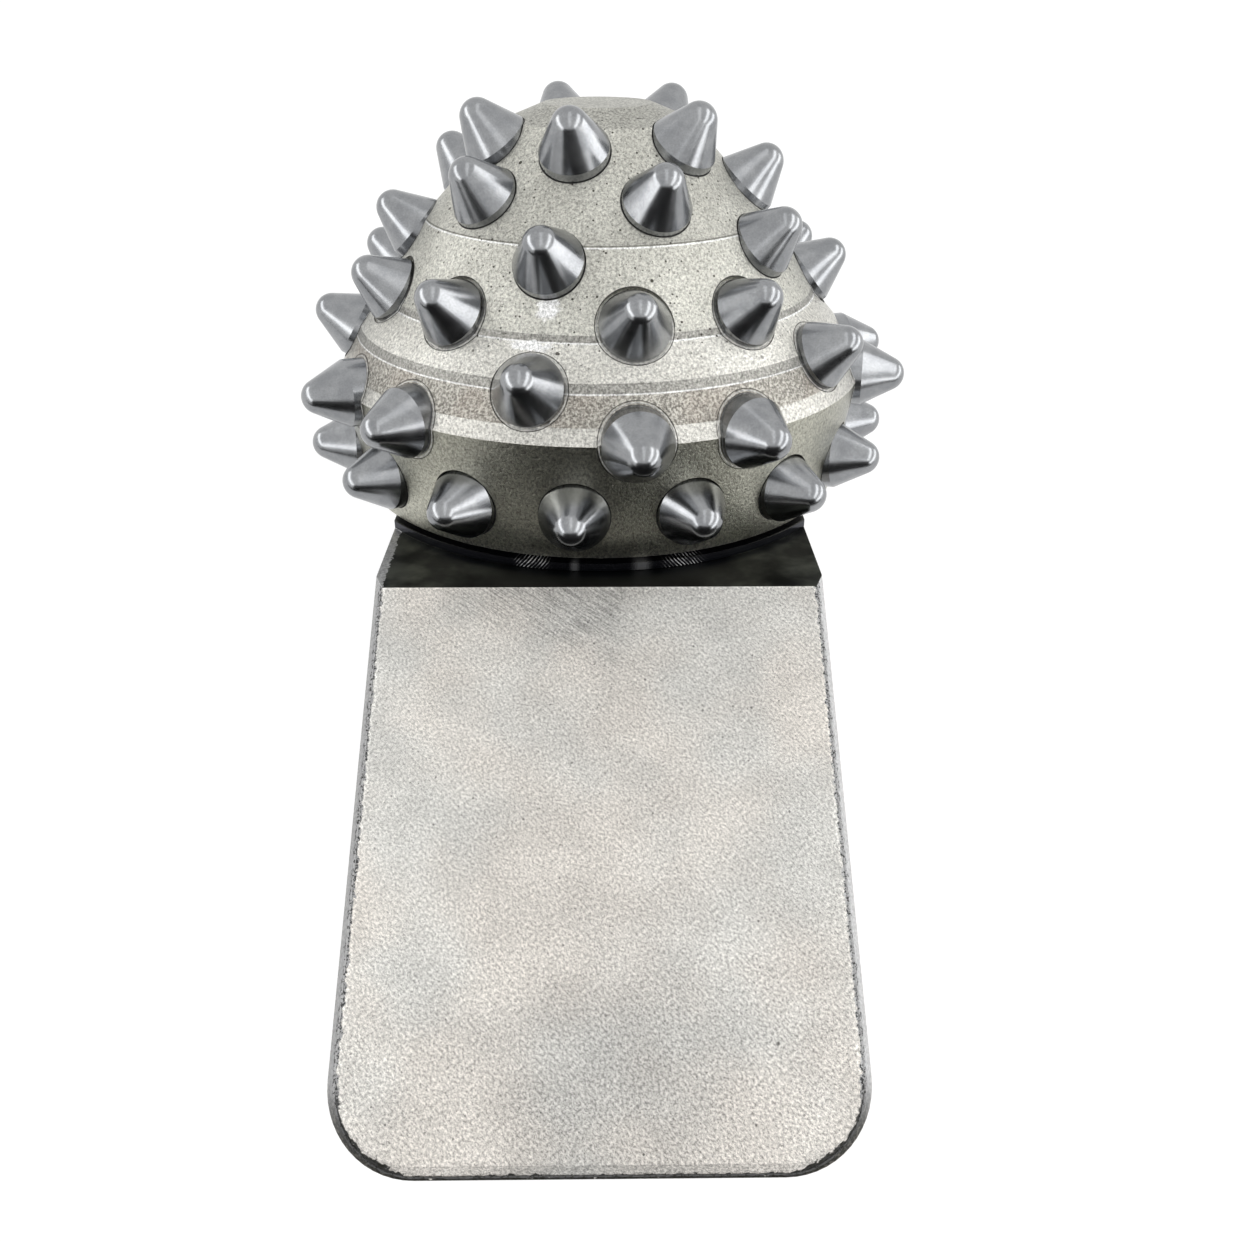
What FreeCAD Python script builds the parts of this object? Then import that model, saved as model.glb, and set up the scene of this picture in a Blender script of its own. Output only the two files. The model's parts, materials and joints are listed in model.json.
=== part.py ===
# Single cone roller bit: a forged leg that carries one toothed cone on a tilted journal.
# Units are millimetres and degrees. The leg lies on its flat back, which is the plane Z = 0.
# +Y runs from the foot of the leg to the cone, +X is to the right, and the origin lies on the
# back below the middle of the edge where the flat front face meets the shoulder.
# Turned pieces are drawn in the journal's own frame: Z along the cone axis, away from the leg,
# with Z = 0 at the open base of the cone, and X towards the foot.

import FreeCAD, Part
import math
import os
import re
import Sketcher

doc = FreeCAD.newDocument("single_cone_roller_bit")
sheet = doc.addObject("Spreadsheet::Sheet", "sizes")

# Driving dimensions
SIZES = [
    ("leg_width", 100, "width of the leg at its trimmed arris"),
    ("leg_thickness", 72, "front face to back"),
    ("foot_reach", 119.6, "shoulder edge to foot end"),
    ("foot_corner", 17, "corner radius of the foot"),
    ("side_draft", 1.2, "how far each side leans in, front to back"),
    ("foot_draft", 5.6, "how far the foot end leans in, front to back"),
    ("arris_width", 2, "bevel left where the flash was trimmed, across"),
    ("arris_depth", 3, "the same bevel, down"),
    ("journal_angle", 33.6, "cone axis from the normal of the front face"),
    ("edge_to_axis", 70, "shoulder edge to cone axis, along the shoulder"),
    ("shoulder_gap", 2.7, "shoulder to the base plane of the cone"),
    ("pad_radius", 62.5, "turned round pad on the shoulder"),
    ("pad_rise", 1.9, "height of the pad above the shoulder"),
    ("tail_radius", 58, "end of the leg behind the cone, turned about the axis"),
    ("cone_base", 61.2, "radius of the cone at its base"),
    ("cone_gage", 65.9, "largest radius of the cone"),
    ("cone_gage_rise", 28.1, "base to the largest radius"),
    ("land_low", 60.6, "radius at the foot of the lower step"),
    ("land_low_rise", 38, "base to the foot of the lower step"),
    ("land_high", 59.6, "radius at the top of the lower step"),
    ("land_high_rise", 40, "base to the top of the lower step"),
    ("step_low", 53.3, "radius at the foot of the upper step"),
    ("step_low_rise", 47, "base to the foot of the upper step"),
    ("step_high", 52.7, "radius at the top of the upper step"),
    ("step_high_rise", 48.4, "base to the top of the upper step"),
    ("scribe", 42.2, "radius of the scribed line"),
    ("scribe_rise", 64.7, "base to the scribed line"),
    ("scribe_width", 0.8, "width of the scribed line"),
    ("scribe_depth", 0.35, "depth of the scribed line"),
    ("nose_shoulder", 21.8, "radius where the nose bevel starts"),
    ("nose_shoulder_rise", 86.2, "base to the nose bevel"),
    ("nose_flat", 13, "radius of the flat nose"),
    ("cone_height", 89.7, "base to nose"),
    ("tooth_radius", 8, "carbide tooth"),
    ("tooth_tip", 4.2, "radius of its dome"),
    ("tooth_height", 11.3, "from the spot face to the tip"),
    ("tooth_flank", 27.5, "half angle of its flank"),
    ("tooth_grip", 12, "length held in the cone"),
    ("nose_tooth_grip", 7, "the same on the two rows nearest the nose"),
    ("spot_radius", 8.7, "spot face round a tooth"),
    ("rim_radius", 8.2, "fine relief round a tooth that has no spot face"),
    ("spot_depth", 0.7, "depth of either"),
    ("seal_radius", 37, "journal under the rubber seal"),
    ("mouth_clearance", 0.6, "cone mouth to journal, radial"),
    ("seal_groove", 42.5, "radius of the seal groove in the cone"),
    ("seal_groove_start", 2, "base to the seal groove"),
    ("seal_groove_end", 8.2, "base to the far wall of the groove"),
    ("roller_radius", 5, "bearing roller"),
    ("roller_length", 20, "bearing roller"),
    ("roller_start", 10.3, "base to the roller race"),
    ("roller_play", 0.25, "end play at each end of a roller"),
    ("journal_radius", 28.4, "journal under the rollers and the balls"),
    ("running_fit", 0.05, "radial clearance of a running fit"),
    ("ball_radius", 6.35, "retaining ball"),
    ("ball_rise", 39.5, "base to the plane of the balls"),
    ("ball_bore_clearance", 0.5, "cone to journal between the races"),
    ("thrust_rise", 47.5, "base to the thrust face of the journal"),
    ("washer_thickness", 2, "thrust washer"),
    ("washer_radius", 26, "thrust washer, outside"),
    ("pilot_radius", 15, "pilot of the journal"),
    ("pilot_end", 62, "base to the end of the pilot"),
    ("pilot_chamfer", 1, "edge at the end of the pilot"),
    ("bushing_wall", 3, "nose bushing"),
    ("button_radius", 9, "thrust button"),
    ("button_thickness", 4, "thrust button"),
    ("face_gap", 0.3, "gap between faces that turn past each other"),
    ("journal_root", 6, "cone base to the root of the journal, inside the leg"),
    ("ball_hole_radius", 6.6, "ball loading hole"),
    ("ball_hole_angle", 50, "ball loading hole, from the cone axis"),
    ("plug_clearance", 0.1, "plug to its hole, radial"),
    ("plug_waist", 4.2, "slim middle of the plug, for grease"),
    ("plug_land", 14, "full ends of the plug"),
    ("weld_radius", 9, "weld that closes the ball hole"),
    ("weld_depth", 5, "weld that closes the ball hole"),
    ("reservoir_place", -45, "centre of the grease reservoir along the leg"),
    ("reservoir_radius", 16, "bore of the reservoir"),
    ("reservoir_depth", 46, "bore of the reservoir"),
    ("cap_radius", 18.5, "counterbore for the cap"),
    ("cap_setback", 1.4, "back of the leg to the snap ring"),
    ("ring_thickness", 1.6, "snap ring"),
    ("ring_bite", 1.1, "snap ring groove, radial"),
    ("ring_width", 4, "snap ring, radial"),
    ("cap_thickness", 6, "reservoir cap"),
    ("diaphragm_wall", 1.6, "rubber diaphragm"),
    ("diaphragm_radius", 10.5, "diaphragm pocket, outside"),
    ("diaphragm_depth", 20, "diaphragm pocket"),
    ("canister_wall", 1.2, "steel canister"),
    ("canister_gap", 1, "grease space round the canister"),
    ("canister_hole", 2.5, "grease hole in the canister's end"),
    ("grease_hole", 2.5, "radius of the long grease passage"),
    ("passage_drop", 28, "ball circle down the ball hole to where the passage meets it"),
    ("cap_seal_section", 1.1, "radius of the cap seal's section"),
    ("grease_plug_radius", 4.5, "screw plug in the cap"),
    ("grease_plug_head", 1.2, "the head of that plug, above the cap"),
    ("hex_socket", 2, "hexagon socket in the plug, across corners / 2"),
]
for line, (alias, value, note) in enumerate(SIZES, start=1):
    sheet.set("A%d" % line, note)
    sheet.set("B%d" % line, str(value))
    sheet.setAlias("B%d" % line, alias)
doc.recompute()


def named(expression):
    """Put the sheet's own name in front of every size that an expression uses."""
    text = expression
    for alias, _, _ in SIZES:
        text = re.sub(r"(?<![\w.])%s(?!\w)" % alias, "sizes." + alias, text)
    return text


def size(expression):
    """The value, in millimetres or degrees, of an expression in the sheet's names."""
    value = sheet.evalExpression(named(expression))
    return float(getattr(value, "Value", value))


def bind(obj, **expressions):
    """Tie properties of an object to expressions in the sheet's names."""
    for name, expression in expressions.items():
        obj.setExpression(name, named(expression))


# Frames
def journal_frame():
    """The journal's own frame: Z along the cone axis, X towards the foot, at the cone's base."""
    tilt = math.radians(size("journal_angle"))
    axis = FreeCAD.Vector(0, math.sin(tilt), math.cos(tilt))
    to_foot = FreeCAD.Vector(0, -math.cos(tilt), math.sin(tilt))
    across = FreeCAD.Vector(1, 0, 0)
    edge = FreeCAD.Vector(0, 0, size("leg_thickness"))
    base = edge - to_foot * size("edge_to_axis") + axis * size("shoulder_gap")
    return FreeCAD.Placement(base, FreeCAD.Rotation(to_foot, across, axis, "ZXY"))


JOURNAL = journal_frame()


def moved(frame, x, y, z, axis=(0, 0, 1), angle=0):
    """A place inside a frame."""
    turn = FreeCAD.Rotation(FreeCAD.Vector(*axis), angle)
    return frame.multiply(FreeCAD.Placement(FreeCAD.Vector(x, y, z), turn))


UPRIGHT = FreeCAD.Placement()


# Makers of simple pieces
def turned(label, profile, frame):
    """A piece turned about Z: a closed outline of (radius, height) expressions, in order."""
    body = doc.addObject("PartDesign::Body", label)
    sketch = body.newObject("Sketcher::SketchObject", label + "_outline")
    planes = [f for f in body.Origin.OriginFeatures if f.Role == "XZ_Plane"]
    sketch.AttachmentSupport = [(planes[0], "")]
    sketch.MapMode = "FlatFace"
    points = [FreeCAD.Vector(size(r), size(z), 0) for r, z in profile]
    count = len(points)
    for start, end in zip(points, points[1:] + points[:1]):
        sketch.addGeometry(Part.LineSegment(start, end), False)
    for i in range(count):
        sketch.addConstraint(Sketcher.Constraint("Coincident", i, 2, (i + 1) % count, 1))
    for i, (r, z) in enumerate(profile):
        for kind, expression, place in (("DistanceX", r, points[i].x), ("DistanceY", z, points[i].y)):
            if expression == "0":
                axis_line = -2 if kind == "DistanceX" else -1
                sketch.addConstraint(Sketcher.Constraint("PointOnObject", i, 1, axis_line))
                continue
            index = sketch.addConstraint(Sketcher.Constraint(kind, -1, 1, i, 1, place))
            sketch.setExpression("Constraints[%d]" % index, named(expression))
    doc.recompute()
    spin = body.newObject("PartDesign::Revolution", label + "_turned")
    spin.Profile = sketch
    spin.ReferenceAxis = (sketch, ["V_Axis"])
    spin.Angle = 360
    body.Placement = frame
    doc.recompute()
    return body


def cylinder(label, radius, height, place):
    piece = doc.addObject("Part::Cylinder", label)
    bind(piece, Radius=radius, Height=height)
    piece.Placement = place
    return piece


def cut(label, base, tool):
    piece = doc.addObject("Part::Cut", label)
    piece.Base = base
    piece.Tool = tool
    return piece


def fuse(label, pieces):
    piece = doc.addObject("Part::MultiFuse", label)
    piece.Shapes = pieces
    return piece


def group(label, shapes):
    """Equal pieces in one node, each a solid of its own."""
    doc.recompute()
    piece = doc.addObject("Part::Feature", label)
    piece.Shape = Part.makeCompound(shapes)
    return piece


# The leg forging
def leg_outline(label, half_width, foot, corner, height):
    """The outline of the leg at one height: two sides, a foot and two round corners."""
    sketch = doc.addObject("Sketcher::SketchObject", label)
    wide = size(half_width)
    low = -size(foot)
    bend = size(corner)
    top_expression = "leg_thickness / tan(journal_angle) + foot_corner"
    top = size(top_expression)
    vec = FreeCAD.Vector
    up = vec(0, 0, 1)
    quarter = math.pi / 2
    right_arc = Part.Circle(vec(wide - bend, low + bend, 0), up, bend)
    left_arc = Part.Circle(vec(bend - wide, low + bend, 0), up, bend)
    sketch.addGeometry([
        Part.LineSegment(vec(-wide, top, 0), vec(wide, top, 0)),
        Part.LineSegment(vec(wide, top, 0), vec(wide, low + bend, 0)),
        Part.ArcOfCircle(right_arc, -quarter, 0),
        Part.LineSegment(vec(wide - bend, low, 0), vec(bend - wide, low, 0)),
        Part.ArcOfCircle(left_arc, 2 * quarter, 3 * quarter),
        Part.LineSegment(vec(-wide, low + bend, 0), vec(-wide, top, 0)),
    ], False)
    rules = [
        ("Coincident", 0, 2, 1, 1), ("Tangent", 1, 2, 2, 2), ("Tangent", 2, 1, 3, 1),
        ("Tangent", 3, 2, 4, 2), ("Tangent", 4, 1, 5, 1), ("Coincident", 5, 2, 0, 1),
        ("Horizontal", 0), ("Vertical", 1), ("Horizontal", 3), ("Vertical", 5), ("Equal", 2, 4),
    ]
    for rule in rules:
        sketch.addConstraint(Sketcher.Constraint(*rule))
    driven = [
        (("Radius", 2, bend), corner),
        (("DistanceX", -1, 1, 0, 2, wide), half_width),
        (("DistanceX", 0, 1, -1, 1, wide), half_width),
        (("DistanceY", -1, 1, 0, 1, top), top_expression),
        (("DistanceY", 3, 1, -1, 1, -low), foot),
    ]
    for rule, expression in driven:
        index = sketch.addConstraint(Sketcher.Constraint(*rule))
        sketch.setExpression("Constraints[%d]" % index, named(expression))
    sketch.Placement = FreeCAD.Placement(vec(0, 0, size(height)), FreeCAD.Rotation())
    return sketch


outlines = [
    leg_outline("back_outline", "leg_width / 2 - side_draft", "foot_reach - foot_draft",
                "foot_corner - side_draft", "0"),
    leg_outline("arris_outline", "leg_width / 2", "foot_reach", "foot_corner",
                "leg_thickness - arris_depth"),
    leg_outline("face_outline", "leg_width / 2 - arris_width", "foot_reach - arris_width",
                "foot_corner - arris_width", "leg_thickness"),
]
blank = doc.addObject("Part::Loft", "leg_blank")
blank.Sections = outlines
blank.Solid = True
blank.Ruled = True

# The shoulder is milled square to the cone axis, and the round pad on it is left standing
room = "(leg_width + leg_thickness + foot_reach)"
shoulder_block = doc.addObject("Part::Box", "shoulder_block")
bind(shoulder_block, Length="2 * " + room, Width="2 * " + room, Height=room)
reach = size(room)
gap = size("shoulder_gap")
shoulder_block.Placement = moved(JOURNAL, -reach, -reach, -gap)
pad = cylinder("shoulder_pad", "pad_radius", "pad_rise", moved(JOURNAL, 0, 0, -gap))
shoulder_tool = cut("shoulder_tool", shoulder_block, pad)

# The end of the leg behind the cone is turned about the cone axis
tail_block = doc.addObject("Part::Box", "tail_block")
bind(tail_block, Length=room, Width="2 * " + room, Height="2 * " + room)
tail_block.Placement = moved(JOURNAL, -reach, -reach, -reach)
tail_core = cylinder("tail_core", "tail_radius", "2 * " + room, tail_block.Placement.multiply(
    FreeCAD.Placement(FreeCAD.Vector(reach, reach, 0), FreeCAD.Rotation())))
tail_tool = cut("tail_tool", tail_block, tail_core)

journal = turned("journal_blank", [
    ("0", "-journal_root"),
    ("seal_radius", "-journal_root"),
    ("seal_radius", "roller_start"),
    ("journal_radius", "roller_start"),
    ("journal_radius", "thrust_rise"),
    ("pilot_radius", "thrust_rise"),
    ("pilot_radius", "pilot_end - pilot_chamfer"),
    ("pilot_radius - pilot_chamfer", "pilot_end"),
    ("0", "pilot_end"),
], JOURNAL)

# The ball race is half in the journal and half in the cone
BALL_PITCH = "(journal_radius + ball_bore_clearance / 2)"


def ball_race(label):
    race = doc.addObject("Part::Torus", label)
    bind(race, Radius1=BALL_PITCH, Radius2="ball_radius + running_fit")
    race.Placement = moved(JOURNAL, 0, 0, size("ball_rise"))
    return race


# The ball loading hole runs from the back of the leg up to the ball race
def ball_hole_frame():
    """Z along the hole, up to the ball race, with Z = 0 where it meets the ball circle."""
    return moved(JOURNAL, size(BALL_PITCH), 0, size("ball_rise"), (0, 1, 0), size("ball_hole_angle"))


HOLE = ball_hole_frame()
hole_axis = HOLE.Rotation.multVec(FreeCAD.Vector(0, 0, 1))
hole_length = HOLE.Base.z / hole_axis.z
ball_hole = cylinder("ball_hole", "ball_hole_radius", room, moved(HOLE, 0, 0, -reach))
weld_place = HOLE.Base - hole_axis * hole_length
weld_seat = cylinder("weld_seat", "weld_radius", "weld_depth",
                     FreeCAD.Placement(FreeCAD.Vector(0, weld_place.y, 0), FreeCAD.Rotation()))

# The grease reservoir is bored in from the back
reservoir_frame = FreeCAD.Placement(FreeCAD.Vector(0, size("reservoir_place"), 0), FreeCAD.Rotation())
SEAT = "(cap_setback + ring_thickness + cap_thickness + diaphragm_wall + canister_wall)"
CAP_START = "(cap_setback + ring_thickness)"
reservoir_bore = cylinder("reservoir_bore", "reservoir_radius", "reservoir_depth", reservoir_frame)
cap_bore = cylinder("cap_bore", "cap_radius", SEAT, reservoir_frame)
ring_groove = cylinder("ring_groove", "cap_radius + ring_bite", "ring_thickness",
                       moved(reservoir_frame, 0, 0, size("cap_setback")))

# The long grease passage joins the reservoir to the ball hole inside the journal
passage_start = FreeCAD.Vector(0, size("reservoir_place"), size(SEAT))
passage_end = HOLE.Base - hole_axis * size("passage_drop")
passage_run = passage_end - passage_start
passage = doc.addObject("Part::Cylinder", "grease_passage")
bind(passage, Radius="grease_hole")
passage.Height = passage_run.Length
passage.Placement = FreeCAD.Placement(
    passage_start, FreeCAD.Rotation(FreeCAD.Vector(0, 0, 1), passage_run))

leg_block = cut("leg_block", cut("leg_milled", blank, shoulder_tool), tail_tool)
leg_solid = fuse("leg_solid", [leg_block, journal])
leg_tools = fuse("leg_tools", [
    ball_race("journal_ball_race"), ball_hole, weld_seat,
    reservoir_bore, cap_bore, ring_groove, passage,
])
leg = cut("leg", leg_solid, leg_tools)

# Reservoir pieces, drawn from the back plane inwards
canister = turned("reservoir_canister", [
    ("reservoir_radius - canister_gap - canister_wall", SEAT + " - canister_wall"),
    ("cap_radius - running_fit", SEAT + " - canister_wall"),
    ("cap_radius - running_fit", SEAT),
    ("reservoir_radius - canister_gap", SEAT),
    ("reservoir_radius - canister_gap", "reservoir_depth - canister_gap"),
    ("canister_hole", "reservoir_depth - canister_gap"),
    ("canister_hole", "reservoir_depth - canister_gap - canister_wall"),
    ("reservoir_radius - canister_gap - canister_wall", "reservoir_depth - canister_gap - canister_wall"),
], reservoir_frame)
FLANGE = "(" + CAP_START + " + cap_thickness)"
diaphragm = turned("reservoir_diaphragm", [
    ("diaphragm_radius - diaphragm_wall", FLANGE),
    ("cap_radius - running_fit", FLANGE),
    ("cap_radius - running_fit", FLANGE + " + diaphragm_wall"),
    ("diaphragm_radius", FLANGE + " + diaphragm_wall"),
    ("diaphragm_radius", FLANGE + " + diaphragm_depth"),
    ("0", FLANGE + " + diaphragm_depth"),
    ("0", FLANGE + " + diaphragm_depth - diaphragm_wall"),
    ("diaphragm_radius - diaphragm_wall", FLANGE + " + diaphragm_depth - diaphragm_wall"),
], reservoir_frame)
SEAL_MIDDLE = "(" + CAP_START + " + cap_thickness / 2)"
SEAL_WIDTH = "(cap_seal_section + running_fit)"
cap = turned("reservoir_cap", [
    ("grease_plug_radius", CAP_START),
    ("cap_radius - running_fit", CAP_START),
    ("cap_radius - running_fit", SEAL_MIDDLE + " - " + SEAL_WIDTH),
    ("cap_radius - 2 * " + SEAL_WIDTH, SEAL_MIDDLE + " - " + SEAL_WIDTH),
    ("cap_radius - 2 * " + SEAL_WIDTH, SEAL_MIDDLE + " + " + SEAL_WIDTH),
    ("cap_radius - running_fit", SEAL_MIDDLE + " + " + SEAL_WIDTH),
    ("cap_radius - running_fit", FLANGE),
    ("grease_plug_radius", FLANGE),
], reservoir_frame)
cap_seal = doc.addObject("Part::Torus", "cap_seal")
bind(cap_seal, Radius1="cap_radius - " + SEAL_WIDTH, Radius2="cap_seal_section")
cap_seal.Placement = moved(reservoir_frame, 0, 0, size(SEAL_MIDDLE))
snap_place = moved(reservoir_frame, 0, 0, size("cap_setback"))
snap_disc = cylinder("snap_disc", "cap_radius + ring_bite", "ring_thickness", snap_place)
snap_hole = cylinder("snap_hole", "cap_radius + ring_bite - ring_width", "ring_thickness", snap_place)
snap_split = doc.addObject("Part::Box", "snap_split")
bind(snap_split, Length="2 * ring_width", Width="cap_radius + ring_bite + ring_width", Height="ring_thickness")
snap_split.Placement = moved(snap_place, -size("ring_width"), -size("cap_radius + ring_bite + ring_width"), 0)
snap_ring = cut("cap_snap_ring", snap_disc, fuse("snap_tools", [snap_hole, snap_split]))
plug_head = cylinder("grease_plug_blank", "grease_plug_radius", "cap_thickness + grease_plug_head",
                     moved(reservoir_frame, 0, 0, size(CAP_START + " - grease_plug_head")))
socket = doc.addObject("Part::Prism", "grease_plug_socket")
socket.Polygon = 6
bind(socket, Circumradius="hex_socket", Height="cap_thickness / 2 + grease_plug_head")
socket.Placement = plug_head.Placement
grease_plug = cut("grease_plug", plug_head, socket)

# Ball retaining plug and its weld
plug_length = hole_length - size("weld_depth") / hole_axis.z
plug_foot = -plug_length + size("weld_radius") * math.tan(math.acos(hole_axis.z))
plug = doc.addObject("Part::Cylinder", "plug_blank")
bind(plug, Radius="ball_hole_radius - plug_clearance")
plug.Height = -plug_foot
plug.Placement = moved(HOLE, 0, 0, plug_foot)
waist_ring = doc.addObject("Part::Cylinder", "plug_waist_ring")
bind(waist_ring, Radius="ball_hole_radius")
waist_ring.Height = -plug_foot - 2 * size("plug_land")
waist_ring.Placement = moved(HOLE, 0, 0, plug_foot + size("plug_land"))
waist_core = doc.addObject("Part::Cylinder", "plug_waist_core")
bind(waist_core, Radius="plug_waist")
waist_core.Height = waist_ring.Height
waist_core.Placement = waist_ring.Placement
waist = cut("plug_waist_tool", waist_ring, waist_core)
trim_out = cylinder("plug_trim_outside", room, "pilot_end", JOURNAL)
trim_in = cylinder("plug_trim_inside", "journal_radius", "pilot_end", JOURNAL)
trim = cut("plug_trim", trim_out, trim_in)
ball_plug = cut("ball_retaining_plug", plug, fuse("plug_tools", [waist, trim, ball_race("plug_ball_race")]))
weld = cylinder("ball_plug_weld", "weld_radius", "weld_depth", weld_seat.Placement)

# Bearing
ROLLER_PITCH = "(journal_radius + running_fit + roller_radius)"
CONE_RACE = "(journal_radius + 2 * running_fit + 2 * roller_radius)"
ROLLER_END = "(roller_start + roller_length + 2 * roller_play)"


def full_ring(radius, pitch, side_gap):
    """How many pieces of one radius fit round a pitch circle, with a gap between them."""
    return int(math.pi / math.asin((radius + side_gap) / pitch))


def ring_of(shape, count, frame):
    """Copies of a shape, evenly round the Z axis of a frame."""
    copies = []
    for i in range(count):
        copy = shape.copy()
        copy.Placement = moved(frame, 0, 0, 0, (0, 0, 1), 360.0 * i / count).multiply(copy.Placement)
        copies.append(copy)
    return copies


roller_pitch = size(ROLLER_PITCH)
roller_seat = FreeCAD.Vector(roller_pitch, 0, size("roller_start + roller_play"))
roller = cylinder("one_roller", "roller_radius", "roller_length",
                  FreeCAD.Placement(roller_seat, FreeCAD.Rotation()))
ball = doc.addObject("Part::Sphere", "one_ball")
bind(ball, Radius="ball_radius")
ball_pitch = size(BALL_PITCH)
ball.Placement = FreeCAD.Placement(FreeCAD.Vector(ball_pitch, 0, size("ball_rise")), FreeCAD.Rotation())
doc.recompute()
side_gap = size("running_fit")
rollers = group("bearing_rollers", ring_of(
    roller.Shape, full_ring(size("roller_radius"), roller_pitch, side_gap), JOURNAL))
balls = group("retaining_balls", ring_of(
    ball.Shape, full_ring(size("ball_radius"), ball_pitch, side_gap), JOURNAL))

cone_seal = doc.addObject("Part::Torus", "cone_seal")
bind(cone_seal, Radius1="(seal_radius + seal_groove) / 2",
     Radius2="(seal_groove - seal_radius) / 2 - running_fit")
cone_seal.Placement = moved(JOURNAL, 0, 0, size("(seal_groove_start + seal_groove_end) / 2"))
CONE_THRUST = "(thrust_rise + washer_thickness + 2 * running_fit)"
thrust_washer = turned("thrust_washer", [
    ("pilot_radius + running_fit", "thrust_rise + running_fit"),
    ("washer_radius", "thrust_rise + running_fit"),
    ("washer_radius", "thrust_rise + running_fit + washer_thickness"),
    ("pilot_radius + running_fit", "thrust_rise + running_fit + washer_thickness"),
], JOURNAL)
BUSH_OUT = "(pilot_radius + running_fit + bushing_wall)"
nose_bushing = turned("nose_bushing", [
    ("pilot_radius + running_fit", CONE_THRUST),
    (BUSH_OUT, CONE_THRUST),
    (BUSH_OUT, "pilot_end"),
    ("pilot_radius + running_fit", "pilot_end"),
], JOURNAL)
BUTTON_START = "(pilot_end + face_gap)"
thrust_button = turned("thrust_button", [
    ("0", BUTTON_START),
    ("button_radius", BUTTON_START),
    ("button_radius", BUTTON_START + " + button_thickness"),
    ("0", BUTTON_START + " + button_thickness"),
], JOURNAL)

# The cone: one turned outline, outside and inside
cone_outline = [
    ("seal_radius + mouth_clearance", "0"),
    ("cone_base", "0"),
    ("cone_gage", "cone_gage_rise"),
    ("land_low", "land_low_rise"),
    ("land_high", "land_high_rise"),
    ("step_low", "step_low_rise"),
    ("step_high", "step_high_rise"),
    ("scribe", "scribe_rise"),
    ("scribe - scribe_depth", "scribe_rise + scribe_width / 2"),
    ("scribe - scribe_width", "scribe_rise + scribe_width"),
    ("nose_shoulder", "nose_shoulder_rise"),
    ("nose_flat", "cone_height"),
    ("0", "cone_height"),
    ("0", BUTTON_START + " + button_thickness"),
    ("button_radius", BUTTON_START + " + button_thickness"),
    ("button_radius", BUTTON_START),
    (BUSH_OUT, BUTTON_START),
    (BUSH_OUT, CONE_THRUST),
    ("journal_radius + ball_bore_clearance", CONE_THRUST),
    ("journal_radius + ball_bore_clearance", ROLLER_END),
    (CONE_RACE, ROLLER_END),
    (CONE_RACE, "roller_start"),
    ("seal_radius + mouth_clearance", "roller_start"),
    ("seal_radius + mouth_clearance", "seal_groove_end"),
    ("seal_groove", "seal_groove_end"),
    ("seal_groove", "seal_groove_start"),
    ("seal_radius + mouth_clearance", "seal_groove_start"),
]
cone_blank = turned("cone_blank", cone_outline, JOURNAL)


# Teeth
def tooth(label, grip):
    """One carbide tooth: a round shank, a straight flank and a domed tip, drawn along Z."""
    body = doc.addObject("PartDesign::Body", label)
    sketch = body.newObject("Sketcher::SketchObject", label + "_outline")
    planes = [f for f in body.Origin.OriginFeatures if f.Role == "XZ_Plane"]
    sketch.AttachmentSupport = [(planes[0], "")]
    sketch.MapMode = "FlatFace"
    radius = size("tooth_radius")
    tip = size("tooth_tip")
    top = size("tooth_height")
    flank = math.radians(size("tooth_flank"))
    low = -size(grip)
    middle = top - tip
    touch = FreeCAD.Vector(tip * math.cos(flank), middle + tip * math.sin(flank), 0)
    neck = touch.y - (radius - touch.x) / math.tan(flank)
    vec = FreeCAD.Vector
    dome = Part.Circle(vec(0, middle, 0), vec(0, 0, 1), tip)
    sketch.addGeometry([
        Part.LineSegment(vec(0, low, 0), vec(radius, low, 0)),
        Part.LineSegment(vec(radius, low, 0), vec(radius, neck, 0)),
        Part.LineSegment(vec(radius, neck, 0), touch),
        Part.ArcOfCircle(dome, flank, math.pi / 2),
        Part.LineSegment(vec(0, top, 0), vec(0, low, 0)),
    ], False)
    rules = [
        ("Coincident", 0, 2, 1, 1), ("Coincident", 1, 2, 2, 1), ("Tangent", 2, 2, 3, 1),
        ("Coincident", 3, 2, 4, 1), ("Coincident", 4, 2, 0, 1), ("Horizontal", 0), ("Vertical", 1),
        ("Vertical", 4), ("PointOnObject", 0, 1, -2), ("PointOnObject", 3, 3, -2),
    ]
    for rule in rules:
        sketch.addConstraint(Sketcher.Constraint(*rule))
    driven = [
        (("Radius", 3, tip), "tooth_tip"),
        (("DistanceX", -1, 1, 1, 1, radius), "tooth_radius"),
        (("DistanceY", 0, 1, -1, 1, -low), grip),
        (("DistanceY", -1, 1, 4, 1, top), "tooth_height"),
        (("DistanceY", -1, 1, 1, 2, neck),
         "tooth_height - tooth_tip + tooth_tip * sin(tooth_flank)"
         " - (tooth_radius - tooth_tip * cos(tooth_flank)) / tan(tooth_flank)"),
    ]
    for rule, expression in driven:
        index = sketch.addConstraint(Sketcher.Constraint(*rule))
        sketch.setExpression("Constraints[%d]" % index, named(expression))
    doc.recompute()
    spin = body.newObject("PartDesign::Revolution", label + "_turned")
    spin.Profile = sketch
    spin.ReferenceAxis = (sketch, ["V_Axis"])
    spin.Angle = 360
    doc.recompute()
    return body


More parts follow.
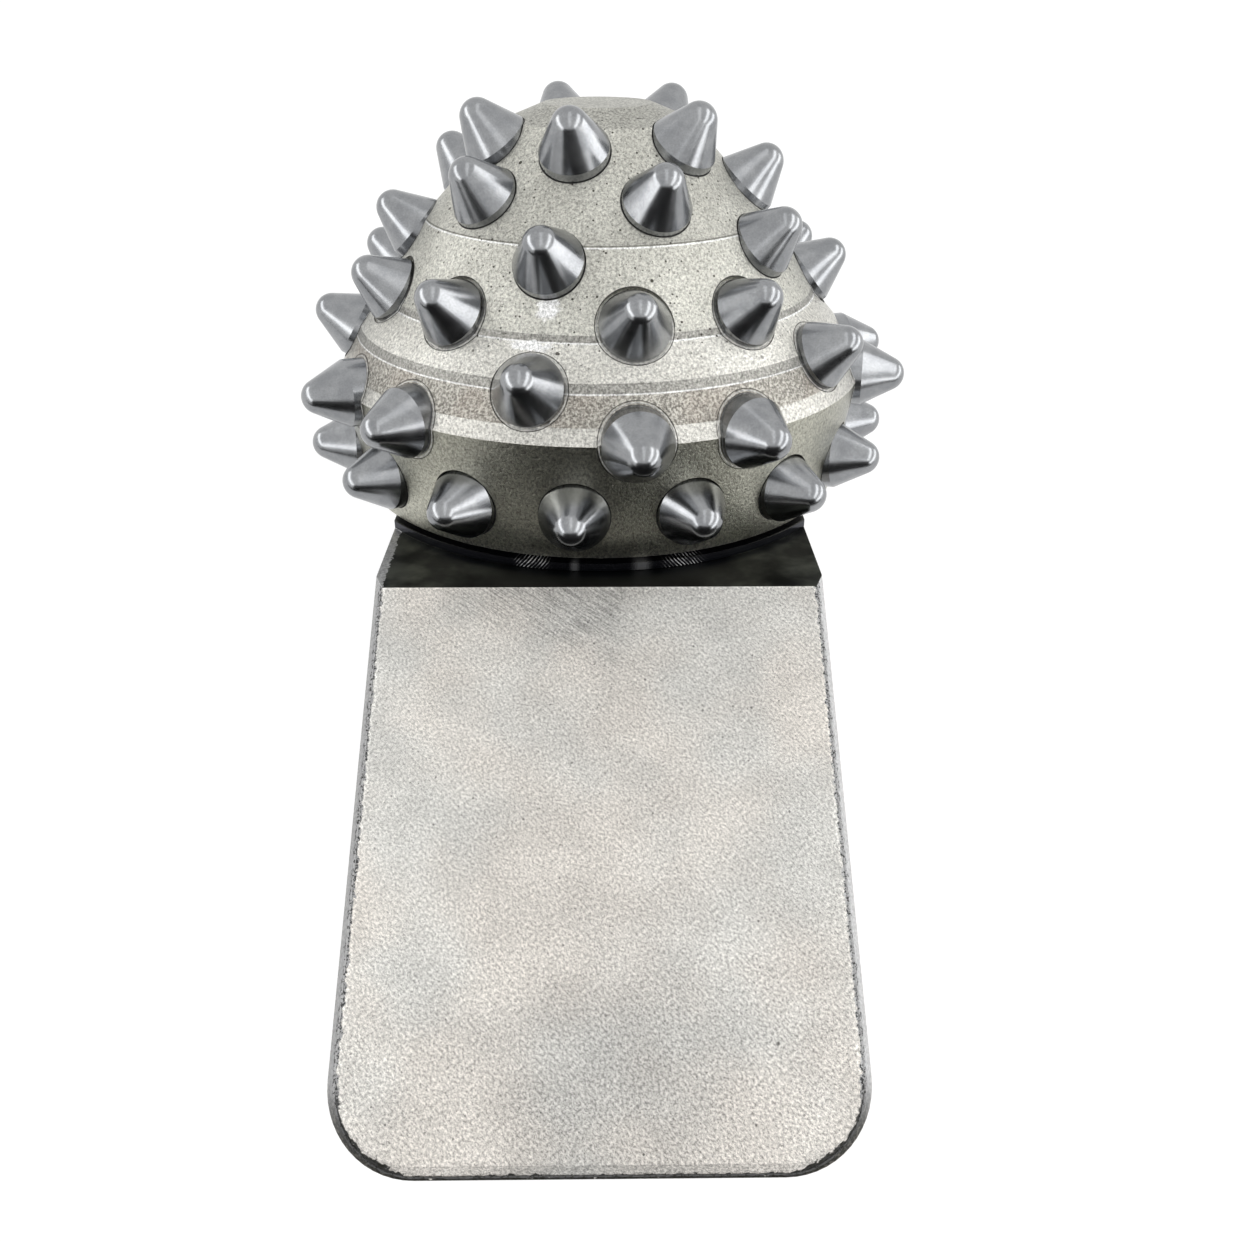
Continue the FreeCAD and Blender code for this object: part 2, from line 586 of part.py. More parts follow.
# Where a row stands on the cone: its circle is a share of the way up one turned face, and its
# teeth lean from the plane of that circle. The angles run round the cone axis from the side
# of the foot. The pitch is uneven on purpose, so that the teeth don't track in their own dents.
FACES = {
    "heel": ("cone_base", "0", "cone_gage", "cone_gage_rise"),
    "step": ("land_low", "land_low_rise", "land_high", "land_high_rise"),
    "flank": ("step_high", "step_high_rise", "scribe", "scribe_rise"),
    "crown": ("scribe", "scribe_rise", "nose_shoulder", "nose_shoulder_rise"),
}


def even(count, start):
    return [start + 360.0 * i / count for i in range(count)]


def pairs(count, start, pair_gap):
    """Pairs of teeth, evenly round the cone, with one gap inside each pair."""
    return [start + 360.0 * i / count + side for i in range(count) for side in (0, pair_gap)]


ROWS = [
    # node, face, share of the way up it, lean, grip, relief round the tooth, angles
    ("gage_row_teeth", "heel", 0.39, 3, "tooth_grip", "rim_radius", even(15, -5)),
    ("sixth_row_teeth", "heel", 1.0, 1, "tooth_grip", "spot_radius", pairs(5, 7.3, 23.4)),
    ("fifth_row_teeth", "step", 0.1, 31, "tooth_grip", "spot_radius", even(5, -14.3)),
    ("fourth_row_teeth", "flank", 0.1, 38, "tooth_grip", "spot_radius",
     [-69.6, -38.6, 8.8, 39.1, 90, 114, 152, 180, 218, 256]),
    ("third_row_teeth", "flank", 0.81, 42, "tooth_grip", "rim_radius", even(5, -14)),
    ("second_row_teeth", "crown", 0.34, 48, "nose_tooth_grip", "rim_radius", [-45.8, 21.4, 82, 166, 246]),
    ("nose_row_teeth", "crown", 0.81, 53, "nose_tooth_grip", "rim_radius", [-65.5, -11.6, 48.6, 142, 200]),
]
masters = {grip: tooth("one_tooth_" + grip, grip) for grip in ("tooth_grip", "nose_tooth_grip")}


def tooth_places(face, share, lean, angles):
    """One frame for each tooth of a row: Z along the tooth, Z = 0 at the spot face."""
    low_r, low_z, high_r, high_z = [size(e) for e in FACES[face]]
    radius = low_r + share * (high_r - low_r)
    rise = low_z + share * (high_z - low_z)
    places = []
    for angle in angles:
        turn = moved(JOURNAL, 0, 0, 0, (0, 0, 1), angle)
        places.append(moved(turn, radius, 0, rise, (0, 1, 0), 90 - lean))
    return places


rows = []
holes = []
for node, face, share, lean, grip, relief, angles in ROWS:
    teeth = []
    for place in tooth_places(face, share, lean, angles):
        copy = masters[grip].Shape.copy()
        copy.Placement = place.multiply(copy.Placement)
        teeth.append(copy)
        bore = Part.makeCylinder(size("tooth_radius"), size(grip + " + tooth_radius"))
        bore.Placement = moved(place, 0, 0, -size(grip))
        spot = Part.makeCylinder(size(relief), size("tooth_height"))
        spot.Placement = moved(place, 0, 0, -size("spot_depth"))
        holes += [bore, spot]
    rows.append(group(node, teeth))
tooth_holes = group("tooth_holes", holes)
cone_tools = fuse("cone_tools", [tooth_holes, ball_race("cone_ball_race")])
cone_shell = cut("cone_shell", cone_blank, cone_tools)
doc.recompute()

# Checks and files
NODES = [
    leg, cone_shell, rollers, balls, ball_plug, weld, cone_seal, nose_bushing, thrust_washer,
    thrust_button, canister, diaphragm, cap, cap_seal, snap_ring, grease_plug,
] + rows
for obj in doc.Objects:
    if "Invalid" in obj.State or "Error" in obj.State:
        raise RuntimeError("%s did not build: %s" % (obj.Label, obj.State))
for node in NODES:
    if node.Shape.isNull() or not node.Shape.isValid():
        raise RuntimeError("%s has no valid shape" % node.Label)
os.makedirs("parts", exist_ok=True)
for node in NODES:
    node.Shape.exportStep("parts/%s.step" % node.Label)
    print("%-22s %3d solids %12.1f mm3" % (node.Label, len(node.Shape.Solids), node.Shape.Volume))
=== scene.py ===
# %% [markdown]
# # A single cone roller bit, dressed for its picture
# The real thing is one cutting segment of a rock drilling tool. A forged leg lies on its back,
# and a steel cone full of carbide teeth turns on the tilted journal at its head. The solids and
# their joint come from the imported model. This notebook gives every surface its finish, makes
# the teeth again as polished meshes, and adds the rims round them and the torn edge that
# trimming leaves on a forging.

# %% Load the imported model
import json
import math

import bmesh
import bpy
from mathutils import Matrix, Vector
from mathutils.bvhtree import BVHTree


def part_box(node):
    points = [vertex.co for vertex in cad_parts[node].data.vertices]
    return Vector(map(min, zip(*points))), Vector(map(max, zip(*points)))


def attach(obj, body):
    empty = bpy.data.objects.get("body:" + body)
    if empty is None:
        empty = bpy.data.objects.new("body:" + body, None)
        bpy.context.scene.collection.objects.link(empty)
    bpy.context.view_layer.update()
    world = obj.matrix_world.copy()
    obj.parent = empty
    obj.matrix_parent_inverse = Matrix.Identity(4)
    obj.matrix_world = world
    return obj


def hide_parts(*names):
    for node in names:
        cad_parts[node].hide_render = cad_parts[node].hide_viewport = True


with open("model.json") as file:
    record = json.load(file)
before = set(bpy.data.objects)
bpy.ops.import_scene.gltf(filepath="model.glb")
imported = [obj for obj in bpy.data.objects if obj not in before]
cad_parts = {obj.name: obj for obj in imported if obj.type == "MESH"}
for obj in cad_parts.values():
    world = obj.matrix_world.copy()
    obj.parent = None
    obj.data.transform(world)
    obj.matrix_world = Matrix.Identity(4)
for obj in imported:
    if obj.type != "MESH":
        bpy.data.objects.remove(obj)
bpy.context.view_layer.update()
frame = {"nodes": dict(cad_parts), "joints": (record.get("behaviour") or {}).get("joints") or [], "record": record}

MM = 0.001
spin_joint = next(j for j in frame["joints"] if j["name"] == "cone_spin")
cone_base = Vector(spin_joint["pos_m"])
cone_axis = Vector(spin_joint["axis"]).normalized()
across = Vector((1, 0, 0))
to_foot = across.cross(cone_axis)
journal_turn = Matrix((to_foot, across, cone_axis)).transposed().to_euler()
face_mount = next(m for m in frame["record"]["mounts"] if m["name"] == "front_face")
face_height = face_mount["pos_m"][2]
leg_low, leg_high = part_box("leg")
print("cone axis:", [round(v, 4) for v in cone_axis], "face height:", face_height)

# %% [markdown]
# ## The camera
# The photo looks down on the segment from in front of its foot. The place was found from the
# four corners of the square face, so the lines of the leg run together here as they do there.
# The lens is written for a frame as wide as it is high.

# %% Place the camera
CAMERA_PLACE = Vector((1.36, -137.66, 311.22)) * MM
CAMERA_TILT = math.radians(28.325)
CAMERA_YAW = math.radians(-0.694)
CAMERA_ROLL = math.radians(-0.225)
LENS = 36.23
SENSOR = 36.0

camera_data = bpy.data.cameras.new("camera")
camera_data.lens = LENS
camera_data.sensor_width = SENSOR
camera_data.clip_start = 0.01
camera = bpy.data.objects.new("camera", camera_data)
camera.rotation_mode = "ZYX"
camera.rotation_euler = (CAMERA_TILT, CAMERA_YAW, CAMERA_ROLL)
camera.location = CAMERA_PLACE
bpy.context.scene.collection.objects.link(camera)
bpy.context.scene.camera = camera
bpy.context.scene.view_settings.view_transform = "Standard"
print("camera", round((cone_base - CAMERA_PLACE).length / MM), "mm from the foot of the cone")

# %% [markdown]
# ## A short way to write nodes
# Blender's materials and its Geometry Nodes are both node trees. One small class adds a node,
# sets its inputs and joins it in one call, which keeps each finish below a few lines long.


# %% Define the tree writer
class Tree:
    """A node tree, with short calls that add and join its nodes."""

    def __init__(self, tree):
        self.tree = tree

    def feed(self, socket, value):
        if isinstance(value, bpy.types.NodeSocket):
            self.tree.links.new(value, socket)
        else:
            socket.default_value = value

    def node(self, kind, inputs=None, **settings):
        made = self.tree.nodes.new(kind)
        for name, value in settings.items():
            setattr(made, name, value)
        for key, value in (inputs or {}).items():
            self.feed(made.inputs[key], value)
        return made

    def sum(self, kind, operation, first, second=0.0, clamp=False):
        made = self.node(kind, {0: first, 1: second}, operation=operation)
        made.use_clamp = clamp
        return made.outputs[0]

    def math(self, operation, first, second=0.0, clamp=False):
        return self.sum("ShaderNodeMath", operation, first, second, clamp)

    def scaled(self, vector, factor):
        made = self.node("ShaderNodeVectorMath", {0: vector, "Scale": factor}, operation="SCALE")
        return made.outputs[0]

    def seen(self):
        """1 for the rays that show a surface, 0 for those that only carry its light."""
        rays = self.node("ShaderNodeLightPath").outputs
        shown = self.math("MAXIMUM", rays["Is Camera Ray"], rays["Is Glossy Ray"])
        return self.math("MAXIMUM", shown, rays["Is Transmission Ray"])


# %% Define the finish writer
class Finish(Tree):
    """A material. Its patterns are written in millimetres on the object's own coordinates."""

    def __init__(self, name, **surface):
        self.material = bpy.data.materials.new(name)
        self.material.use_nodes = True
        super().__init__(self.material.node_tree)
        self.surface = self.tree.nodes["Principled BSDF"]
        for key, value in surface.items():
            self.feed(self.surface.inputs[key.replace("_", " ")], value)
        self.place = self.node("ShaderNodeTexCoord").outputs["Object"]
        self.mm = self.scaled(self.place, 1 / MM)

    def place_from(self, centre, turn):
        """The same point in millimetres, seen from a centre and along turned axes."""
        inputs = {"Vector": self.place, "Location": centre, "Rotation": turn, "Scale": (MM, MM, MM)}
        return self.node("ShaderNodeMapping", inputs, vector_type="TEXTURE").outputs[0]

    def journal_place(self):
        """The same point seen from the journal: Z along the cone axis, from the cone's base."""
        return self.place_from(cone_base, journal_turn)

    def length(self, x, y):
        """How far a point lies from the axis that x and y are measured from."""
        flat = self.node("ShaderNodeCombineXYZ", {0: x, 1: y}).outputs[0]
        return self.node("ShaderNodeVectorMath", {0: flat}, operation="LENGTH").outputs["Value"]

    def parts(self, vector):
        return self.node("ShaderNodeSeparateXYZ", {0: vector}).outputs

    def turned(self, vector, degrees, stretch):
        """A pattern turned about Z and drawn out along its new X."""
        inputs = {"Vector": vector, "Rotation": (0, 0, math.radians(degrees)),
                  "Scale": (stretch, 1, 1)}
        return self.node("ShaderNodeMapping", inputs, vector_type="TEXTURE").outputs[0]

    def noise(self, vector, size, detail=2.0, rough=0.5):
        """Cloudy noise from 0 to 1, with blotches of about one size in millimetres."""
        inputs = {"Vector": vector, "Scale": 1 / size, "Detail": detail, "Roughness": rough}
        return self.node("ShaderNodeTexNoise", inputs).outputs[0]

    def specks(self, vector, spacing, radius):
        """1 inside small spots, one to each cell, some of them smaller or missing."""
        cells = self.node("ShaderNodeTexVoronoi", {"Vector": vector, "Scale": 1 / spacing})
        share = self.math("MULTIPLY", self.parts(cells.outputs["Color"])[0], radius / spacing)
        return self.math("LESS_THAN", cells.outputs["Distance"], share)

    def rise(self, value, start, end):
        """0 below start, 1 above end, smooth between. With end below start it falls instead."""
        inputs = {"Value": value, "From Min": start, "From Max": end}
        made = self.node("ShaderNodeMapRange", inputs, interpolation_type="SMOOTHSTEP")
        return made.outputs[0]

    def between(self, value, low, high, soft):
        """1 from low to high, 0 beyond, with soft ends."""
        up = self.rise(value, low - soft, low + soft)
        down = self.rise(value, high + soft, high - soft)
        return self.math("MULTIPLY", up, down)

    def mix(self, share, first, second):
        """A colour between two others."""
        made = self.node("ShaderNodeMix", data_type="RGBA")
        for index, value in ((0, share), (6, first), (7, second)):
            self.feed(made.inputs[index], value)
        return made.outputs[2]

    def blend(self, share, first, second):
        """A number between two others."""
        made = self.node("ShaderNodeMix", data_type="FLOAT")
        for index, value in ((0, share), (2, first), (3, second)):
            self.feed(made.inputs[index], value)
        return made.outputs[0]

    def bump(self, height, depth, under=None):
        """Bump of a real depth in millimetres, on top of another bump."""
        inputs = {"Height": height, "Distance": depth * MM}
        if under is not None:
            inputs["Normal"] = under
        return self.node("ShaderNodeBump", inputs).outputs[0]

    def set(self, **surface):
        for key, value in surface.items():
            self.feed(self.surface.inputs[key.replace("_", " ")], value)


def grey(value):
    return (value, value, value, 1)


# %% [markdown]
# ## The forged leg
# One forging carries three finishes. The flat face and the sides are shot blasted, which leaves
# a pale skin of tiny dents. The shoulder was milled and blackened, and the pad round the journal
# was turned. They meet at sharp edges, so the material asks where a point lies, along the leg
# or along the cone axis, and picks the finish for that place.

# %% Find where each finish lies on the leg
ARRIS_DEPTH = 3.0
SHOULDER_RISE = -2.7
STEP_OVER = 0.1
FACE_TOP = face_height / MM
LEG_HALF = leg_high.x / MM
FOOT = -leg_low.y / MM
FOOT_CORNER = 17.0
leg = Finish("blasted_forging")
leg_x, leg_y, leg_z = leg.parts(leg.mm)[0:3]
journal_x, journal_y, journal_rise = leg.parts(leg.journal_place())[0:3]
journal_radius = leg.length(journal_x, journal_y)
on_shoulder = leg.math("GREATER_THAN", journal_rise, SHOULDER_RISE - STEP_OVER)
on_pad = leg.math("GREATER_THAN", journal_rise, SHOULDER_RISE + STEP_OVER)
on_top = leg.math("GREATER_THAN", leg_z, FACE_TOP - ARRIS_DEPTH + STEP_OVER)

# How far a point lies inside the outline of the face, with its two rounded corners
past_side = leg.math("SUBTRACT", leg.math("ABSOLUTE", leg_x), LEG_HALF - FOOT_CORNER)
past_foot = leg.math("SUBTRACT", leg.math("MULTIPLY", leg_y, -1.0), FOOT - FOOT_CORNER)
round_part = leg.length(leg.math("MAXIMUM", past_side, 0.0), leg.math("MAXIMUM", past_foot, 0.0))
flat_part = leg.math("MINIMUM", leg.math("MAXIMUM", past_side, past_foot), 0.0)
inset = leg.math("SUBTRACT", leg.math("SUBTRACT", FOOT_CORNER, round_part), flat_part)

# %% Mix the blasted face
# Sizes of blotches and spots in millimetres, and the degrees that grain and lines lean by
GRAIN = 0.50
GRAIN_TILT = -48
GROUND_TILT = -36
leg_grain = leg.noise(leg.turned(leg.mm, GRAIN_TILT, 1.35), GRAIN, 4.0, 0.85)
coarse = leg.noise(leg.mm, 2.6, 2.0, 0.5)
clouds = leg.noise(leg.mm, 30, 2.0, 0.5)
tint = leg.mix(leg.rise(clouds, 0.35, 0.65), (0.60, 0.57, 0.53, 1), (0.575, 0.567, 0.54, 1))
haze = leg.noise(leg.scaled(leg.mm, 1.03), 13, 4.0, 0.62)
tint = leg.scaled(tint, leg.blend(leg.rise(haze, 0.30, 0.70), 0.90, 1.06))
near_foot = leg.rise(leg_y, -60, -110)
depth = leg.blend(near_foot, 1.00, 1.20)
grain_tone = leg.math("SUBTRACT", leg.rise(leg_grain, 0.30, 0.70), 0.55)
grain_tone = leg.math("MULTIPLY", grain_tone, depth)
face_tone = leg.math("ADD", grain_tone, leg.blend(leg.rise(leg_x, -LEG_HALF, 0), 1.08, 1.0))
pits = leg.specks(leg.mm, 5.5, 0.36)
pits = leg.math("MAXIMUM", pits, leg.specks(leg.scaled(leg.mm, 1.02), 2.6, 0.24))
face_tone = leg.math("MULTIPLY", face_tone, leg.blend(pits, 1.0, 0.40))
fine_pits = leg.specks(leg.scaled(leg.mm, 1.04), 1.25, 0.21)
face_tone = leg.math("MULTIPLY", face_tone, leg.blend(fine_pits, 1.0, 0.62))
side_tone = face_tone

# Grinding lines that run down to the right under the shoulder, in a ground patch
ground_lines = leg.noise(leg.turned(leg.mm, GROUND_TILT, 20), 0.40, 1.0, 0.5)
patch = leg.noise(leg.mm, 16, 1.0, 0.5)
ground_here = leg.math("MULTIPLY", leg.rise(leg_y, -36, -3), leg.rise(patch, 0.40, 0.62))
ground_here = leg.math("MULTIPLY", ground_here, leg.between(leg_x, -34, 16, 14))
line_share = leg.math("MULTIPLY", leg.rise(ground_lines, 0.55, 0.42), ground_here)
face_tone = leg.math("MULTIPLY", face_tone, leg.blend(line_share, 1.0, 0.62))
# Painted shade: the face is darker in front of the cone, by the shoulder
painted_shade_before_cone = leg.math("MULTIPLY", leg.rise(leg_y, -24, -2), leg.between(leg_x, -22, 12, 16))
face_tone = leg.math("MULTIPLY", face_tone, leg.blend(painted_shade_before_cone, 1.0, 0.88))

# A darker patch near the middle of the foot, and a painted highlight along the face's edge at the shoulder
foot_patch = leg.length(leg.math("SUBTRACT", leg_x, 4.0), leg.math("ADD", leg_y, 106.0))
face_tone = leg.math("MULTIPLY", face_tone, leg.blend(leg.rise(foot_patch, 34, 8), 1.0, 0.82))
face_tone = leg.math("MULTIPLY", face_tone, leg.blend(leg.rise(leg_y, -0.9, -0.3), 1.0, 1.2))
face_colour = leg.scaled(tint, face_tone)

# %% Trim the edge of the face
# The trim on the sides gives way to the foot's narrower one between these two lengths
SIDE_TRIM_END = -101
FOOT_TRIM_START = -113
TRIM_WIDTH = 2.3
FOOT_TRIM_WIDTH = 0.60
CORNER_TRIM = 1.1
BITE_DEPTH = 2.4
bites = leg.noise(leg.mm, 1.5, 3.0, 0.62)
at_foot = leg.rise(leg_y, SIDE_TRIM_END, FOOT_TRIM_START)
trim_width = leg.blend(at_foot, TRIM_WIDTH, FOOT_TRIM_WIDTH)
at_corner = leg.between(leg.math("ABSOLUTE", leg_x), 36, 52, 4)
at_corner = leg.math("MULTIPLY", at_corner, leg.rise(leg_y, SIDE_TRIM_END, SIDE_TRIM_END - 6))
trim_width = leg.math("ADD", trim_width, leg.math("MULTIPLY", at_corner, CORNER_TRIM))
bitten = leg.math("MULTIPLY", leg.math("SUBTRACT", bites, 0.5), BITE_DEPTH)
ragged = leg.math("ADD", inset, bitten)
inside_trim = leg.math("SUBTRACT", trim_width, ragged)
trimmed = leg.rise(inside_trim, -0.10, 0.10)
side_trim = leg.mix(leg.rise(leg_x, -10, 10), grey(0.40), grey(0.54))
trim_grit = leg.noise(leg.mm, 0.6, 2.0, 0.6)
side_trim = leg.scaled(side_trim, leg.blend(leg.rise(trim_grit, 0.35, 0.65), 0.82, 1.12))
chips = leg.rise(trim_grit, 0.45, 0.66)
foot_trim = leg.mix(chips, (0.020, 0.019, 0.014, 1), (0.15, 0.14, 0.12, 1))
trim_colour = leg.mix(at_foot, side_trim, foot_trim)
grit_here = leg.between(inside_trim, 0.0, 1.1, 0.15)
grit_here = leg.math("MULTIPLY", grit_here, leg.rise(trim_grit, 0.46, 0.55))
trim_colour = leg.mix(grit_here, trim_colour, grey(0.05))
# Painted highlight: a thin band of the face just inside the side trim is lighter, like a rolled edge catching the
# light
edge_highlight = leg.between(inside_trim, -0.50, -0.12, 0.08)
edge_highlight = leg.math("MULTIPLY", edge_highlight, leg.math("SUBTRACT", 1.0, at_foot))

# The chamfer at the foot faces away from the light, so it is written paler
foot_bevel = leg.math("MULTIPLY", at_foot, on_top)
below_face = leg.rise(leg_z, FACE_TOP - 0.02, FACE_TOP - 0.06)
foot_bevel = leg.math("MULTIPLY", foot_bevel, below_face)
edge_highlight_tone = leg.blend(edge_highlight, 1.0, 1.18)
face_with_highlights = leg.scaled(face_colour, leg.math("MULTIPLY", edge_highlight_tone, leg.blend(foot_bevel, 1.0, 1.36)))
top_colour = leg.mix(trimmed, face_with_highlights, trim_colour)
side_colour = leg.mix(leg.rise(coarse, 0.3, 0.7), (0.40, 0.385, 0.36, 1), (0.50, 0.485, 0.455, 1))
side_colour = leg.scaled(side_colour, side_tone)
leg_colour = leg.mix(on_top, side_colour, top_colour)

# %% Blacken the shoulder
smudge = leg.noise(leg.mm, 9, 3.0, 0.55)
# Painted reflection: the black is paler toward both ends of the shoulder and darkest in the middle
sheen_to_ends = leg.rise(leg.math("ABSOLUTE", leg_x), 16, 44)
black_with_sheen = leg.mix(sheen_to_ends, (0.002, 0.0025, 0.002, 1), (0.088, 0.094, 0.078, 1))
black = leg.mix(leg.rise(smudge, 0.35, 0.72), (0.0012, 0.0016, 0.0012, 1), black_with_sheen)
wobble = leg.math("MULTIPLY", leg.noise(leg.mm, 1.6, 3.0, 0.6), 2.6)
bare_left = leg.math("LESS_THAN", leg.math("ADD", leg_x, wobble), -46.6)
bare_grey = leg.mix(leg.rise(trim_grit, 0.35, 0.65), grey(0.42), grey(0.66))
black = leg.mix(bare_left, black, bare_grey)

# %% Score the pad where a tool has slipped
# Angles are degrees round the journal from the foot's side, heights are along its axis
PAD_RIM = 62.5
HATCH_LEAN = 0.9
HATCH_SPACING = 0.88
HATCH_WAVER = 0.8
LEFT_HATCH = (-17.5, -11.0)
RIGHT_HATCH = (14.5, 21.5)
SMEAR = (7.2, 10.4)
DOT = (-6.0, -4.4)
ring_angle = leg.math("MULTIPLY", leg.math("ARCTAN2", journal_y, journal_x), math.degrees(1))
along = leg.math("MULTIPLY", ring_angle, PAD_RIM * math.radians(1))
lean = leg.math("MULTIPLY", leg.math("SIGN", ring_angle), HATCH_LEAN)
slanted = leg.math("ADD", along, leg.math("MULTIPLY", journal_rise, lean))
hatch_waver = leg.math("MULTIPLY", leg.noise(leg.mm, 5.0, 1.0), HATCH_WAVER)
wavy = leg.math("ADD", slanted, hatch_waver)
hatch_wave = leg.math("SINE", leg.math("MULTIPLY", wavy, 2 * math.pi / HATCH_SPACING))
hatches = leg.rise(hatch_wave, 0.40, 0.95)
left_hatch = leg.between(ring_angle, *LEFT_HATCH, 1.6)
right_hatch = leg.between(ring_angle, *RIGHT_HATCH, 2.2)
worn = leg.blend(leg.rise(leg.noise(leg.mm, 1.7, 2.0), 0.36, 0.62), 0.25, 1.0)
smear = leg.math("MULTIPLY", leg.between(ring_angle, *SMEAR, 1.2), 0.26)
dot = leg.math("MULTIPLY", leg.between(ring_angle, *DOT, 0.6), 0.22)
hatched = leg.math("MULTIPLY", leg.math("MAXIMUM", left_hatch, right_hatch), hatches)
hatched = leg.math("MULTIPLY", hatched, worn)
scored = leg.math("MAXIMUM", hatched, leg.math("MAXIMUM", smear, dot))
turning_place = leg.node("ShaderNodeCombineXYZ", {0: journal_radius, 1: journal_rise}).outputs[0]
turning = leg.noise(turning_place, 0.35, 1.0)
rings = leg.rise(turning, 0.4, 0.6)
pad_colour = leg.mix(rings, (0.013, 0.014, 0.019, 1), (0.036, 0.037, 0.045, 1))
pad_colour = leg.mix(scored, pad_colour, grey(0.75))
leg_colour = leg.mix(on_shoulder, leg_colour, leg.mix(on_pad, black, pad_colour))

# %% Join the leg's finish
grain_bump = leg.bump(coarse, 0.14, leg.bump(leg_grain, 0.13))
smooth_bump = leg.bump(leg_grain, 0.012)
leg_normal = leg.node("ShaderNodeMix", {0: on_shoulder}, data_type="VECTOR")
leg.feed(leg_normal.inputs[4], grain_bump)
leg.feed(leg_normal.inputs[5], smooth_bump)
leg_rough = leg.blend(on_pad, leg.blend(on_shoulder, 0.46, 0.44), leg.blend(scored, 0.18, 0.6))
rough_scores = leg.math("MULTIPLY", on_pad, scored)
dull = leg.math("MAXIMUM", rough_scores, foot_bevel)
leg.set(Base_Color=leg_colour, Metallic=leg.blend(dull, 0.92, 0.0), Roughness=leg_rough,
        Specular_IOR_Level=leg.blend(on_shoulder, 0.5, 0.05), Normal=leg_normal.outputs[1])
print("leg finish:", len(leg.tree.nodes), "nodes")

# %% [markdown]
# ## The cone
# The cone was turned, drilled for its teeth, hardened and blasted. Each turned face caught the
# blast at another angle, so the bands differ: a dark grainy heel, a bright rough land above it,
# two narrow dark steps, and a paler crown with casting pores. The material reads the height
# along the cone axis to know which band it is on, and turns with the cone.

# %% Mix the cone's finish
HEEL_TOP = 28.1
LAND_TOP = 38.0
LOW_STEP_TOP = 40.0
HIGH_STEP = 47.0
HIGH_STEP_TOP = 48.4
SCRIBE = 64.7
NOSE_BEVEL = 86.2
SMOOTH_LAND_TOP = 31.6
cone = Finish("blasted_cone_steel")
cone_place = cone.journal_place()
cone_rise = cone.parts(cone_place)[2]
cone_grain = cone.noise(cone_place, 0.62, 4.0, 0.85)
peel = cone.noise(cone_place, 0.62, 2.0, 0.55)
dapple = cone.noise(cone_place, 14, 2.0, 0.5)
rust = cone.noise(cone_place, 11, 2.0, 0.5)

# Base tones of the bands, from the crown down
crown_colour = cone.mix(cone.rise(dapple, 0.3, 0.7), (0.46, 0.455, 0.412, 1), (0.54, 0.535, 0.487, 1))
bright_colour = cone.mix(cone.rise(dapple, 0.3, 0.7), (0.56, 0.55, 0.508, 1), (0.635, 0.625, 0.582, 1))
peel_tone = cone.mix(cone.rise(peel, 0.38, 0.62), (0.28, 0.265, 0.235, 1), (0.42, 0.405, 0.365, 1))
rusty = cone.math("MULTIPLY", cone.rise(rust, 0.45, 0.70), 0.28)
peel_colour = cone.mix(rusty, peel_tone, (0.33, 0.275, 0.23, 1))
smooth_colour = (0.53, 0.52, 0.483, 1)
heel_colour = cone.mix(cone.rise(dapple, 0.3, 0.7), (0.345, 0.34, 0.285, 1), (0.445, 0.44, 0.373, 1))
step_colour = cone.mix(cone.rise(cone_grain, 0.3, 0.7), (0.24, 0.235, 0.215, 1), (0.34, 0.335, 0.31, 1))

# %% Lay the bands over the cone
cone_colour = crown_colour
for colour, low, high in (
    (bright_colour, LOW_STEP_TOP, HIGH_STEP),
    (step_colour, HIGH_STEP, HIGH_STEP_TOP),
    (step_colour, LAND_TOP, LOW_STEP_TOP),
    (peel_colour, SMOOTH_LAND_TOP, LAND_TOP),
    (smooth_colour, HEEL_TOP, SMOOTH_LAND_TOP),
    (heel_colour, -10, HEEL_TOP),
):
    cone_colour = cone.mix(cone.between(cone_rise, low, high, 0.06), cone_colour, colour)
# Painted highlights: thin bright lines along the edges of some bands and just below the scribed line
lit_edge = cone.between(cone_rise, LAND_TOP - 0.25, LAND_TOP + 0.05, 0.08)
for edge_rise in (HIGH_STEP, SCRIBE):
    lit_edge = cone.math("MAXIMUM", lit_edge, cone.between(cone_rise, edge_rise - 0.30, edge_rise, 0.08))
cone_colour = cone.mix(cone.math("MULTIPLY", lit_edge, 0.7), cone_colour, grey(0.86))
scribed = cone.between(cone_rise, SCRIBE + 0.05, SCRIBE + 0.32, 0.06)
cone_colour = cone.mix(cone.math("MULTIPLY", scribed, 0.75), cone_colour, (0.13, 0.13, 0.11, 1))

# %% Add the pores and the grain
CONE_RING = 62.0
GLARE_SPOTS = ((-13.6, 53.3, 2.9, 2.1), (-17.1, 46.1, 5.5, 0.9))
small_pores = cone.specks(cone_place, 1.3, 0.28)
large_pores = cone.specks(cone.scaled(cone_place, 1.01), 4.6, 0.50)
pores = cone.math("MAXIMUM", small_pores, large_pores)
pore_share = cone.blend(cone.rise(cone_rise, LOW_STEP_TOP, HIGH_STEP), 0.35, 1.0)
pores = cone.math("MULTIPLY", pores, pore_share)
cone_colour = cone.mix(pores, cone_colour, (0.07, 0.065, 0.055, 1))

